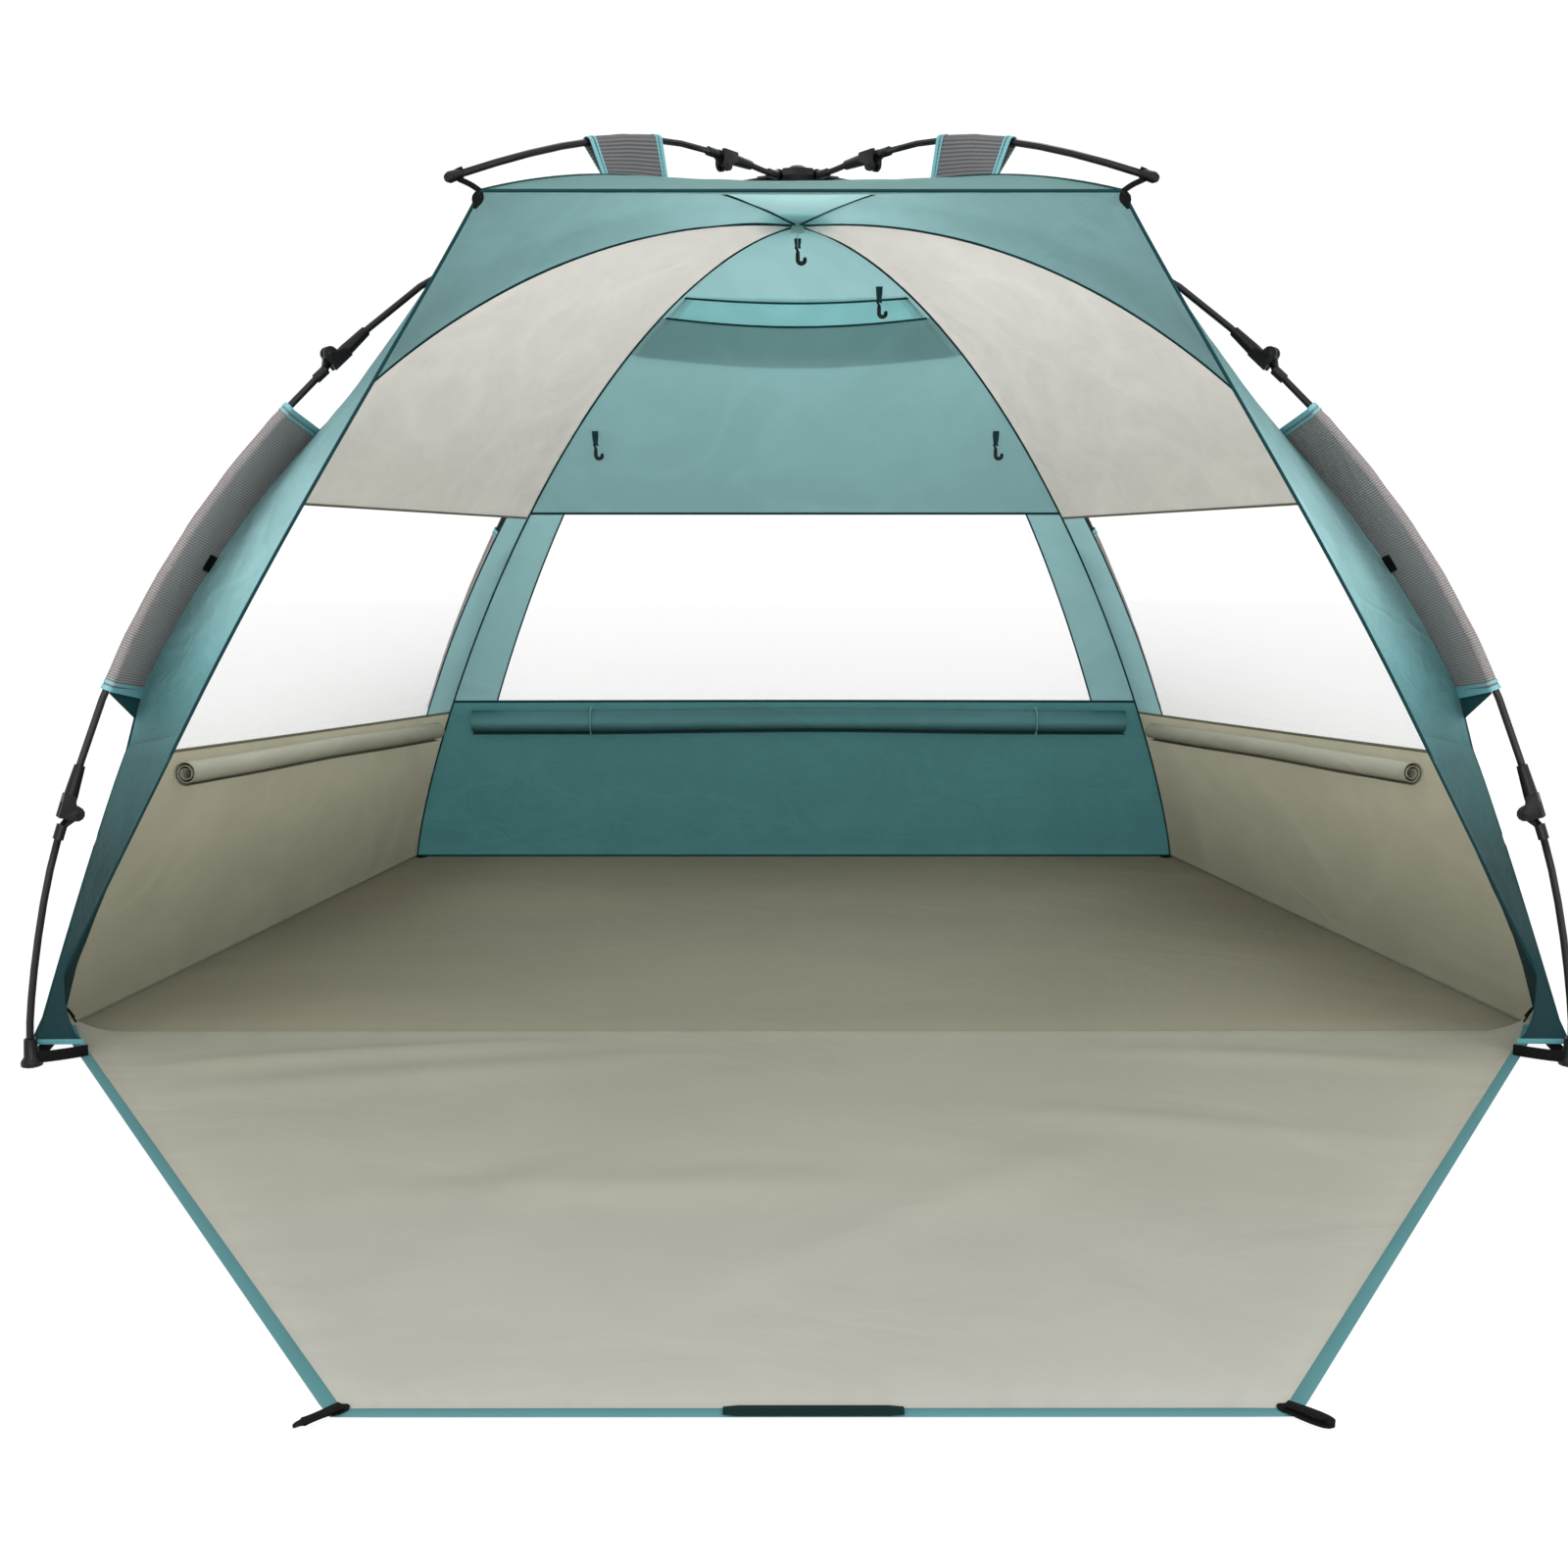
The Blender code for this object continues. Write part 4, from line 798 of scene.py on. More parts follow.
class TentStage(bpy.types.PropertyGroup):
    """Light round the tent."""

    key_power: power_property("Key", "Light from the front left", 34.0)
    fill_power: power_property("Fill", "Light from the front right", 22.0)
    back_power: power_property("Back", "Light from behind", 55.0)
    front_power: power_property("Front", "Light into the doorway", 75.0)
    sky: FloatProperty(name="Sky", description="Strength of the even light", default=1.0, min=0.0)


# Pieces


def piece(name, data, look, replaces=(), body=CANOPY, folds=True):
    """A finished piece: its look, the body that it rides on, and what it stands for."""
    item = bpy.data.objects.new(name, data)
    bpy.context.collection.objects.link(item)
    data.materials.clear()
    data.materials.append(finish_of(look))
    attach(item, body)
    if folds:
        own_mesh(item)
    if replaces:
        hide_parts(*replaces)
    return item


def finished_mesh(bm, name, angle=50):
    data = bpy.data.meshes.new(name)
    bm.to_mesh(data)
    bm.free()
    data.shade_smooth()
    data.set_sharp_from_angle(angle=math.radians(angle))
    return data


def steps(length):
    return max(2, round(length * bpy.context.scene.tent_sizes.fineness))


def grid_on(columns, rows, place):
    """A grid laid on place(column, row), with its maps, and the sizes of the cloth that it was cut from."""
    across, along = len(columns) - 1, len(rows) - 1
    bm = bmesh.new()
    bmesh.ops.create_grid(bm, x_segments=across, y_segments=along, size=1)
    spots = {}
    for v in bm.verts:
        i, j = round((v.co.x + 1) / 2 * across), round((v.co.y + 1) / 2 * along)
        spots[v] = (i, j)
        v.co = place(columns[i], rows[j])
    at = {spot: v.co for v, spot in spots.items()}
    width = max(run_length([at[i, j] for i in range(across + 1)]) for j in range(along + 1))
    length = max(run_length([at[i, j] for j in range(along + 1)]) for i in range(across + 1))
    metres = bm.loops.layers.uv.new("cloth")
    shares = bm.loops.layers.uv.new("panel")
    for face in bm.faces:
        for loop in face.loops:
            i, j = spots[loop.vert]
            loop[metres].uv = (i / across * width, j / along * length)
            loop[shares].uv = (i / across, j / along)
    area = sum(face.calc_area() for face in bm.faces)
    return bm, (width, length, area)


def inside(bm):
    """The vertices that aren't on a free edge."""
    return [v for v in bm.verts if not v.is_boundary]


def thickened(bm, thickness):
    bmesh.ops.solidify(bm, geom=bm.faces[:], thickness=thickness)
    bmesh.ops.recalc_face_normals(bm, faces=bm.faces)


def panel(
    name, look, columns, rows, place, rests_on=(), held="stretched", pucker=1.0, thickness=None, up=False, **options
):
    """A sewn panel: puckered and given its thickness on the outer side."""
    sizes = bpy.context.scene.tent_sizes
    bm, (width, length, area) = grid_on(columns, rows, place)
    bm.normal_update()
    if up:
        facing_out = sum(f.normal.z for f in bm.faces)
    else:
        middle = Vector((0, 0, APEX_HEIGHT / 4))
        facing_out = sum(f.normal.dot(f.calc_center_median() - middle) * f.calc_area() for f in bm.faces)
    if facing_out < 0:
        bmesh.ops.reverse_faces(bm, faces=bm.faces)
        bm.normal_update()
    if pucker:
        for v in inside(bm):
            wave = noise.noise(v.co * 5.0) + 0.6 * noise.noise(v.co * 11.0) + 0.4 * noise.noise(v.co * 23.0)
            v.co += v.normal * wave * sizes.pucker * pucker
    thickness = thickness or sizes.cloth_thickness
    lifted = {v: v.normal.copy() * thickness for v in bm.verts}
    for v, step in lifted.items():
        v.co += step
    thickened(bm, thickness)
    item = piece(name, finished_mesh(bm, name), look, **options)
    list(rests_on)


def tube_mesh(name, points, radii, sides, flat, facing):
    """A round or flattened tube along the points, closed at both ends."""
    bm = bmesh.new()
    rows = len(points) - 1
    bmesh.ops.create_grid(bm, x_segments=sides, y_segments=rows, size=1)
    metres = bm.loops.layers.uv.new("cloth")
    length = run_length(points)
    for face in bm.faces:
        for loop in face.loops:
            u = (loop.vert.co.x + 1) * math.pi * radii[0]
            loop[metres].uv = (u, (loop.vert.co.y + 1) / 2 * length)
    frames = []
    for n, point in enumerate(points):
        ahead = points[min(n + 1, rows)] - points[max(n - 1, 0)]
        ahead.normalize()
        guide = facing or (UP if abs(ahead.z) < 0.9 else Vector((0, 1, 0)))
        across = ahead.cross(guide).normalized()
        frames.append((point, across, across.cross(ahead).normalized()))
    for v in bm.verts:
        n = round((v.co.y + 1) / 2 * rows)
        point, across, out = frames[n]
        angle = 2 * math.pi * round((v.co.x + 1) / 2 * sides) / sides
        v.co = point + across * math.cos(angle) * radii[n] + out * math.sin(angle) * radii[n] * flat
    bmesh.ops.remove_doubles(bm, verts=bm.verts, dist=min(radii) * 0.01)
    bmesh.ops.holes_fill(bm, edges=[e for e in bm.edges if e.is_boundary], sides=sides + 1)
    bmesh.ops.recalc_face_normals(bm, faces=bm.faces)
    return finished_mesh(bm, name)


def tube(name, look, points, radius, sides=8, flat=1.0, facing=None, **options):
    """A piece of cord, wire or moulding, with one radius or one for each point."""
    radii = radius if isinstance(radius, list) else [radius] * len(points)
    return piece(name, tube_mesh(name, points, radii, sides, flat, facing), look, **options)


def strap(name, look, points, width, thickness, facing, **options):
    """Flat webbing along the points, as wide as it says across the facing direction."""
    return tube(name, look, points, width / 2, 8, thickness / width, facing, **options)


def binding(name, points, radius=None, look="binding"):
    return tube(name, look, points, radius or bpy.context.scene.tent_sizes.binding_radius)


# Operators, one for each group of like pieces


class BEACHTENT_OT_walls(bpy.types.Operator):
    """Sews the side and back walls"""

    bl_idname = "beachtent.walls"
    bl_label = "Walls"

    def side_wall(self, side, name, n):
        place = partial(side_wall_point, side)
        wall = f"side_wall_{name}"
        leg_rods = [f"front_{name}_middle_rod", f"back_{name}_middle_rod"]
        crown = [crown_height(SIDE_WINDOW_TOP, s) for s in spread(0, 1, n // 2)]
        rows = {"lower": (spread(FLOOR_TOP, SIDE_SILL, n // 3), "groundsheet"), "upper": (crown, "crown_patch")}
        for part, (levels, carrier) in rows.items():
            carriers = [carrier, *leg_rods]
            panel(f"{wall}_{part}", f"sand_{part}", spread(0, 1, n), levels, place, carriers, replaces=(wall,))
        window = spread(SIDE_SILL, SIDE_WINDOW_TOP, n // 3)
        strips = {"front": spread(0, SIDE_WINDOW_SHARES[0], 5), "back": spread(SIDE_WINDOW_SHARES[1], 1, 6)}
        for end, columns in strips.items():
            carriers = [f"{wall}_lower", f"{wall}_upper"]
            panel(f"{wall}_{end}_strip", "side_strip", columns, window, place, carriers, pucker=0.5)

    def back_wall(self, n):
        lower, upper = spread(FLOOR_TOP, BACK_SILL, n // 3), spread(WINDOW_TOP, VENT_BOTTOM, n // 3)
        crown = [crown_height(VENT_TOP, s) for s in spread(0, 1, n // 4)]
        vent = spread(VENT_BOTTOM, VENT_TOP, 3)
        parts = {
            "lower": (lower, "back_lower", ["groundsheet", "back_left_foot", "back_right_foot"]),
            "upper": (upper, "back_upper", ["back_left_middle_rod", "back_right_middle_rod"]),
            "crown": (crown, "crown", ["crown_patch"]),
        }
        for part, (levels, look, carriers) in parts.items():
            panel(f"back_wall_{part}", look, spread(0, 1, n), levels, vent_point, carriers, replaces=("back_wall",))
        first, last = BACK_WINDOW_SHARES
        openings = {"window": (spread(BACK_SILL, WINDOW_TOP, n // 3), "back_strip"), "vent": (vent, "crown")}
        for end, columns in (("left", spread(0, first, 5)), ("right", spread(last, 1, 5))):
            for opening, (levels, look) in openings.items():
                title = f"back_wall_{end}_{opening}_strip"
                panel(title, look, columns, levels, vent_point, ["back_wall_upper"], pucker=0.5)
        carriers = ["back_wall_upper", "back_wall_crown"]
        panel("roof_vent_net", "vent_net", spread(first, last, n), vent, vent_point, carriers, pucker=0)

    def execute(self, context):
        n = steps(1.0)
        for side, name in SIDES:
            self.side_wall(side, name, n)
        self.back_wall(n)
        return {"FINISHED"}


class BEACHTENT_OT_hood(bpy.types.Operator):
    """Sews the hood's roof, its sides and the skirts that run out to the feet"""

    bl_idname = "beachtent.hood"
    bl_label = "Hood"

    def roof(self, n):
        def place(column, row):
            sag = 0.010 * math.sin(math.pi * column) * math.sin(math.pi * min(row, 1) / 1.25)
            return hood_seam(-1, row).lerp(hood_seam(1, row), column) - UP * sag

        rows = spread(CROWN_SHARE, 1, n * 2 // 3)
        carriers = ["awning_left_tip", "awning_right_tip", "crown_patch"]
        panel("hood_roof_cloth", "roof", spread(0, 1, n), rows, place, carriers, replaces=("hood_roof",))

    def gusset(self, side, name, n):
        """The hood's side, between the front seam and the hood's seam and free edge."""

        def place(column, row):
            rear = front_seam(side, min(CROWN_SHARE + (1 - CROWN_SHARE) * math.sin(math.pi / 2 * row), 1))
            rear.z = max(rear.z, FLOOR_TOP)
            if row <= HOOD_CORNER_SHARE:
                front = hood_seam(side, CROWN_SHARE + (1 - CROWN_SHARE) * row / HOOD_CORNER_SHARE)
            else:
                front = hood_edge(side, (row - HOOD_CORNER_SHARE) / (1 - HOOD_CORNER_SHARE))
            return rear.lerp(front, column)

        split = round(n * HOOD_CORNER_SHARE * 1.5)
        rows = spread(0, HOOD_CORNER_SHARE, split) + spread(HOOD_CORNER_SHARE, 1, n * 2 - split)[1:]
        carriers = [f"front_{name}_middle_rod", f"awning_{name}_tip"]
        replaces = (f"hood_side_{name}",)
        panel(f"hood_side_{name}_cloth", "hood", spread(0, 1, n // 2), rows, place, carriers, replaces=replaces)

    def skirt(self, side, name):
        """The flare of cloth that runs out from the hood's side to the front foot, bound and hemmed."""

        def place(column, row):
            high = front_seam_at(side, 0.46)
            bend = high + (high - front_seam_at(side, 0.50)) * 4.4 + Vector((side * 0.012, -0.020, 0))
            outer = high.lerp(bend, row).lerp(bend.lerp(mirrored(side, SKIRT_OUTER_FOOT), row), row)
            inner = hood_edge(side, 0.62 + 0.34 * row)
            inner = inner.lerp(mirrored(side, SKIRT_INNER_FOOT), max(0, row - 0.84) / 0.16)
            return outer.lerp(inner, column) + Vector((0, -0.0035 * min(1, row * 8), 0))

        carriers = [f"front_{name}_foot", f"hood_side_{name}_cloth"]
        panel(f"hood_skirt_{name}", "hood", spread(0, 1, 12), spread(0, 1, 26), place, carriers, pucker=0.6)
        binding(f"hood_skirt_outer_binding_{name}", [place(0, s) for s in spread(0, 1, 20)], NARROW_BINDING)
        hem = [place(s, 1) + Vector((0, -0.001, 0.002)) for s in spread(0, 1, 10)]
        strap(f"hood_skirt_hem_{name}", "loop_webbing", hem, 0.008, 0.0016, Vector((0, -1, 0.2)))

    def corner_webbing(self, side, name):
        """The patch on the hood's front corner and the strap that ties it to the awning's tip."""
        corner = hood_seam(side, 1)
        down = (hood_edge(side, 0.03) - corner).normalized()
        low = corner + down * 0.030 + Vector((-side * 0.006, -0.002, 0))
        patch = straight(corner + Vector((0, -0.001, 0.001)), low, 5)
        radii = [0.003, 0.007, 0.009, 0.008, 0.005, 0.002]
        tube(f"hood_corner_patch_{name}", "black_webbing", patch, radii, 8, 0.16, FRONT)
        start = mirrored(side, AWNING_TIP) + Vector((side * 0.006, -0.004, 0.002))
        points = [
            start + Vector((-side * 0.010, 0, 0.004)),
            start + Vector((side * 0.002, -0.002, -0.001)),
            start + Vector((side * 0.001, -0.003, -0.009)),
            start.lerp(corner, 0.6) + Vector((0, -0.003, -0.002)),
            corner + Vector((0, -0.003, -0.001)),
        ]
        tube(f"hood_corner_strap_{name}", "black_webbing", smoothed(points), 0.0042, 8, 0.4, FRONT)

    def execute(self, context):
        n = steps(1.0)
        self.roof(n)
        for side, name in SIDES:
            self.gusset(side, name, n)
            self.skirt(side, name)
            self.corner_webbing(side, name)
        return {"FINISHED"}


class BEACHTENT_OT_windows(bpy.types.Operator):
    """Stretches the window nets"""

    bl_idname = "beachtent.windows"
    bl_label = "Window nets"

    def net(self, node, wall, look, place, shares, levels):
        """A net in a wall's opening, between its shares along the wall and its sill and top."""
        n = steps(0.5)
        carriers = [f"{wall}_lower", f"{wall}_upper"]
        options = {"pucker": 0, "thickness": NET_THICKNESS, "replaces": (node,)}
        panel(f"{node}_cloth", look, spread(*shares, n), spread(*levels, n), place, carriers, **options)

    def execute(self, context):
        levels = (BACK_SILL, WINDOW_TOP)
        self.net("back_window_net", "back_wall", "back_net", back_wall_point, BACK_WINDOW_SHARES, levels)
        for side, name in SIDES:
            node, wall, levels = f"side_window_net_{name}", f"side_wall_{name}", (SIDE_SILL, SIDE_WINDOW_TOP)
            self.net(node, wall, "side_net", partial(side_wall_point, side), SIDE_WINDOW_SHARES, levels)
        return {"FINISHED"}


def roll_stations(place, sill, shares, radius, count=44):
    """Places along the middle of a rolled flap below a sill, with the direction into the tent."""
    stations = []
    for share in spread(*shares, count):
        top = place(share, sill)
        here = place(share, sill - radius - ROLL_DROP)
        aside = place(share + 0.001, sill - radius - ROLL_DROP) - here
        inward = aside.cross(top - here).normalized()
        if inward.dot(here - UP * here.z) > 0:
            inward.negate()
        droop = 0.002 * math.sin(share * 9.0) * radius / 0.03
        stations.append((here + inward * (radius + 0.0006) - UP * droop, inward))
    return stations


def roll_frame(stations, n):
    point, inward = stations[n]
    ahead = (stations[min(n + 1, len(stations) - 1)][0] - stations[max(n - 1, 0)][0]).normalized()
    up = inward.cross(ahead).normalized()
    if up.z < 0:
        up.negate()
    return point, inward, up, ahead


def rolled_flap(name, look, stations, radius, replaces):
    """A flap rolled up: a spiral of cloth with its loose edge on top, whose turns show at both ends."""
    turns = 2.6
    around = 64

    def place(column, row):
        point, inward, up, _ = roll_frame(stations, row)
        angle = 2 * math.pi * turns * column + math.pi / 2
        ripple = 0.012 * math.sin(angle * 3 + row * 0.35) + 0.02 * noise.noise(Vector((row * 0.3, angle, 0)))
        reach = radius * (0.30 + 0.66 * column) * (1 + ripple * column)
        return point + inward * math.cos(angle) * reach + up * math.sin(angle) * reach

    bm, (width, length, area) = grid_on(spread(0, 1, around), list(range(len(stations))), place)
    bm.normal_update()
    thickened(bm, ROLL_THICKNESS)
    item = piece(name, finished_mesh(bm, name), look, replaces)


def rain_flap_point(column, row):
    """The flap over the roof vent, which stands off the back wall most at the middle of its lower edge."""
    top = VENT_TOP + 0.002
    height = top + (VENT_FLAP_BOTTOM - top) * row
    point = back_wall_point(column, height)
    below = back_wall_point(column, height - 0.003)
    across = back_wall_point(column + 0.01, height) - back_wall_point(column - 0.01, height)
    out = (below - point).normalized().cross(across.normalized())
    if out.z < 0:
        out.negate()
    width = VENT_SHARES[1] - VENT_SHARES[0]
    crown = math.sin(math.pi * (column - VENT_SHARES[0]) / width)
    return point + out.normalized() * (0.003 + VENT_FLAP_STANDOFF * row * (0.25 + 0.75 * crown))


class BEACHTENT_OT_flaps(bpy.types.Operator):
    """Rolls up the window flaps and hangs the vent's rain flap"""

    bl_idname = "beachtent.flaps"
    bl_label = "Rolled flaps"

    def back_roll(self):
        stations = roll_stations(back_wall_point, BACK_SILL, BACK_ROLL_SHARES, BACK_ROLL_RADIUS)
        rolled_flap("back_flap_roll", "teal_roll", stations, BACK_ROLL_RADIUS, ("back_rolled_flap",))
        reach = BACK_ROLL_RADIUS + 0.0008
        for number, share in enumerate((0.178, 0.868)):
            point, inward, up, ahead = roll_frame(stations, round(share * (len(stations) - 1)))
            ring = [
                point + (inward * math.cos(angle) + up * math.sin(angle)) * reach
                for angle in spread(0, 2 * math.pi, 28)
            ]
            strap(f"back_flap_tie_{number + 1}", "tie", ring, 0.011, 0.0014, ahead)

    def side_roll(self, side, name):
        stations = roll_stations(partial(side_wall_point, side), SIDE_SILL, SIDE_ROLL_SHARES, SIDE_ROLL_RADIUS)
        carriers, replaces = [f"side_wall_{name}_lower"], (f"side_rolled_flap_{name}",)
        rolled_flap(f"side_flap_roll_{name}", "sand_roll", stations, SIDE_ROLL_RADIUS, replaces)

    def rain_flap(self):
        columns, rows = spread(*VENT_SHARES, steps(0.8)), spread(0, 1, steps(0.3))
        options = {"pucker": 0.4, "replaces": ("vent_flap",)}
        panel("vent_rain_flap", "rain", columns, rows, rain_flap_point, ["back_wall_crown"], **options)
        left, right = VENT_SHARES
        hem = [rain_flap_point(left, s) for s in spread(0, 1, 12)]
        hem += [rain_flap_point(s, 1) for s in spread(left, right, 30)][1:]
        hem += [rain_flap_point(right, s) for s in spread(1, 0, 12)][1:]
        binding("vent_rain_flap_binding", hem, FLAP_BINDING, "edge_binding")

    def execute(self, context):
        self.back_roll()
        for side, name in SIDES:
            self.side_roll(side, name)
        self.rain_flap()
        return {"FINISHED"}


# Creases of the porch: two ends, half width and height
PORCH_CREASES = (
    ((-1.05, -0.80), (-0.30, -0.66), 0.030, 0.0090),
    ((-0.98, -0.92), (-0.10, -0.72), 0.045, 0.0080),
    ((0.40, -0.70), (1.06, -0.80), 0.035, 0.0080),
    ((-0.62, -1.28), (0.15, -1.22), 0.045, 0.0064),
    ((0.20, -0.95), (0.86, -1.12), 0.040, 0.0064),
    ((-0.20, -1.60), (0.45, -1.05), 0.050, 0.0060),
    ((-0.45, -1.62), (-0.25, -0.90), 0.050, 0.0052),
)
PORCH_FRONT = -THRESHOLD_AHEAD - PORCH_DEPTH - 0.013
PORCH_CLOTH_HALVES = (PORCH_FRONT_HALF + 0.006, PORCH_BACK_HALF + 0.008)
CORNER_CURL_REACH = 0.085


def near_line(x, y, line):
    """How far a place is from a stretch of line, and how far along it lies."""
    (ax, ay), (bx, by) = line
    dx, dy = bx - ax, by - ay
    share = max(0, min(1, ((x - ax) * dx + (y - ay) * dy) / (dx * dx + dy * dy)))
    return math.hypot(x - ax - dx * share, y - ay - dy * share), share


def on_ground(front, back, lift, creases=(), curl=0.0):
    """place(column, row) of a sheet on the ground, with low broad folds and its back corners turned up.

    front and back are the half width and the place ahead of each end.
    """
    a, b = (Vector((side * front[0], front[1], 0)) for side in (-1, 1))
    d, c = (Vector((side * back[0], back[1], 0)) for side in (-1, 1))

    def place(column, row):
        point = a.lerp(b, column).lerp(d.lerp(c, column), row)
        edge = min(column, 1 - column, row, 1 - row)
        fade = min(1, edge / 0.05)
        swell = abs(noise.noise(Vector((point.x * 1.6, point.y * 3.4, 2.0)))) * lift * fade
        height = 0.0014 + swell
        for start, end, half, tall in creases:
            distance, share = near_line(point.x, point.y, (start, end))
            ridge = math.exp(-((distance / half) ** 2)) * math.sin(math.pi * min(max(share, 0.04), 0.96))
            height += ridge * tall * fade
        for corner in (c, d):
            away = (point - corner).length
            height += curl * max(0, 1 - away / CORNER_CURL_REACH) ** 2
        return Vector((point.x, point.y, height))

    return place


class BEACHTENT_OT_ground(bpy.types.Operator):
    """Lays the groundsheet, the porch, its hem and the webbing at the corners"""

    bl_idname = "beachtent.ground"
    bl_label = "Groundsheet and porch"

    def groundsheet(self):
        front, back = (FLOOR_FRONT_HALF, -THRESHOLD_AHEAD), (FLOOR_BACK_HALF, FLOOR_BACK_BEHIND)
        options = {"held": "laid", "pucker": 0, "up": True, "replaces": ("groundsheet",)}
        columns, rows = spread(0, 1, steps(2.4)), spread(0, 1, steps(1.4))
        panel("groundsheet_cloth", "ground", columns, rows, on_ground(front, back, 0.0030), **options)

    def porch(self, place, hem_width):
        options = {"held": "laid", "pucker": 0, "up": True, "replaces": ("porch",), "body": PORCH}
        panel("porch_cloth", "porch", spread(0, 1, steps(2.4)), spread(0, 1, steps(1.3)), place, **options)
        lift = UP * 0.0008
        hem = [place(0, s) + lift for s in spread(PORCH_HEM_END, 0, 60)]
        hem += [place(s, 0) + lift for s in spread(0, 1, 24)][1:]
        hem += [place(1, s) + lift for s in spread(0, PORCH_HEM_END, 60)][1:]
        strap("porch_hem", "hem", hem, hem_width, 0.0032, UP, body=PORCH)
        patch = [Vector((x, PORCH_FRONT, 0.0042)) for x in spread(-PORCH_PATCH_HALF, PORCH_PATCH_HALF, 12)]
        radii = [0.0072, *[0.0096] * 11, 0.0072]
        tube("porch_centre_patch", "patch", patch, radii, 8, 0.24, UP, body=PORCH)

    def peg_loop(self, side, name):
        """A loop of webbing for a peg at the porch's front corner, and the patch that holds it."""
        corner = Vector((side * PORCH_CLOTH_HALVES[0], PORCH_FRONT, 0.004))
        away = Vector((side * 0.72, -0.70, 0)).normalized()
        across = Vector((-away.y, away.x, 0))
        loop = []
        for t in spread(0, 1, 24):
            sign = 1 if t < 0.5 else -1
            near = min(t, 1 - t) * 2
            reach = 0.042 * math.sin(math.pi / 2 * near) - 0.006
            opening = 0.0026 * math.sin(math.pi * near) + 0.001 * (1 - near)
            loop.append(corner + away * reach + across * sign * opening + UP * (0.0022 * sign + 0.0024))
        strap(f"peg_loop_{name}", "black_webbing", loop, 0.0135, 0.0024, UP, body=PORCH)
        patch = straight(corner - away * 0.014 + UP * 0.0006, corner + away * 0.006 + UP * 0.0006, 4)
        radii = [0.003, 0.008, 0.009, 0.009, 0.008]
        tube(f"peg_loop_patch_{name}", "black_webbing", patch, radii, 8, 0.2, UP, body=PORCH)

    def anchor_strap(self, end, side, name):
        """The strap that runs from a corner of the floor to the foot outside it."""
        corner, foot = {
            "front": ((FLOOR_FRONT_HALF, -THRESHOLD_AHEAD), FRONT_FOOT),
            "back": ((FLOOR_BACK_HALF, FLOOR_BACK_BEHIND), BACK_FOOT),
        }[end]
        start, stop = (mirrored(side, (*place, 0.0040)) for place in (corner, foot))
        direction = (stop - start).normalized()
        points = [start - direction * 0.030 + (stop - start + direction * 0.014) * s for s in spread(0, 1, 12)]
        strap(f"anchor_strap_{end}_{name}", "black_webbing", points, 0.024, 0.0022, UP)

    def skirt_band(self, side, name):
        start, stop = (mirrored(side, place) for place in SKIRT_BAND)
        band = [start.lerp(stop, s) + Vector((0, -0.003 * math.sin(math.pi * s), 0)) for s in spread(0, 1, 14)]
        strap(f"skirt_band_{name}", "black_webbing", band, 0.018, 0.0022, FRONT)

    def corner_elastic(self, side, name, corner):
        """A loop of elastic at the porch's back corner."""
        points = [
            corner + Vector((-side * 0.012, -0.004, 0.001)),
            corner + Vector((-side * 0.008, -0.012, 0.014)),
            corner + Vector((-side * 0.012, -0.030, 0.024)),
            corner + Vector((-side * 0.024, -0.050, 0.024)),
            corner + Vector((-side * 0.040, -0.062, 0.010)),
        ]
        tube(f"porch_corner_elastic_{name}", "black_webbing", smoothed(points), 0.0016)

    def execute(self, context):
        self.groundsheet()
        front, back = (PORCH_CLOTH_HALVES[0], PORCH_FRONT), (PORCH_CLOTH_HALVES[1], -THRESHOLD_AHEAD)
        place = on_ground(front, back, 0.0036, PORCH_CREASES, 0.026)
        self.porch(place, context.scene.tent_sizes.hem_width)
        for side, name in SIDES:
            self.peg_loop(side, name)
        for end in ("front", "back"):
            for side, name in SIDES:
                self.anchor_strap(end, side, name)
        for side, name in SIDES:
            self.skirt_band(side, name)
            self.corner_elastic(side, name, place(0 if side < 0 else 1, 1))
        return {"FINISHED"}


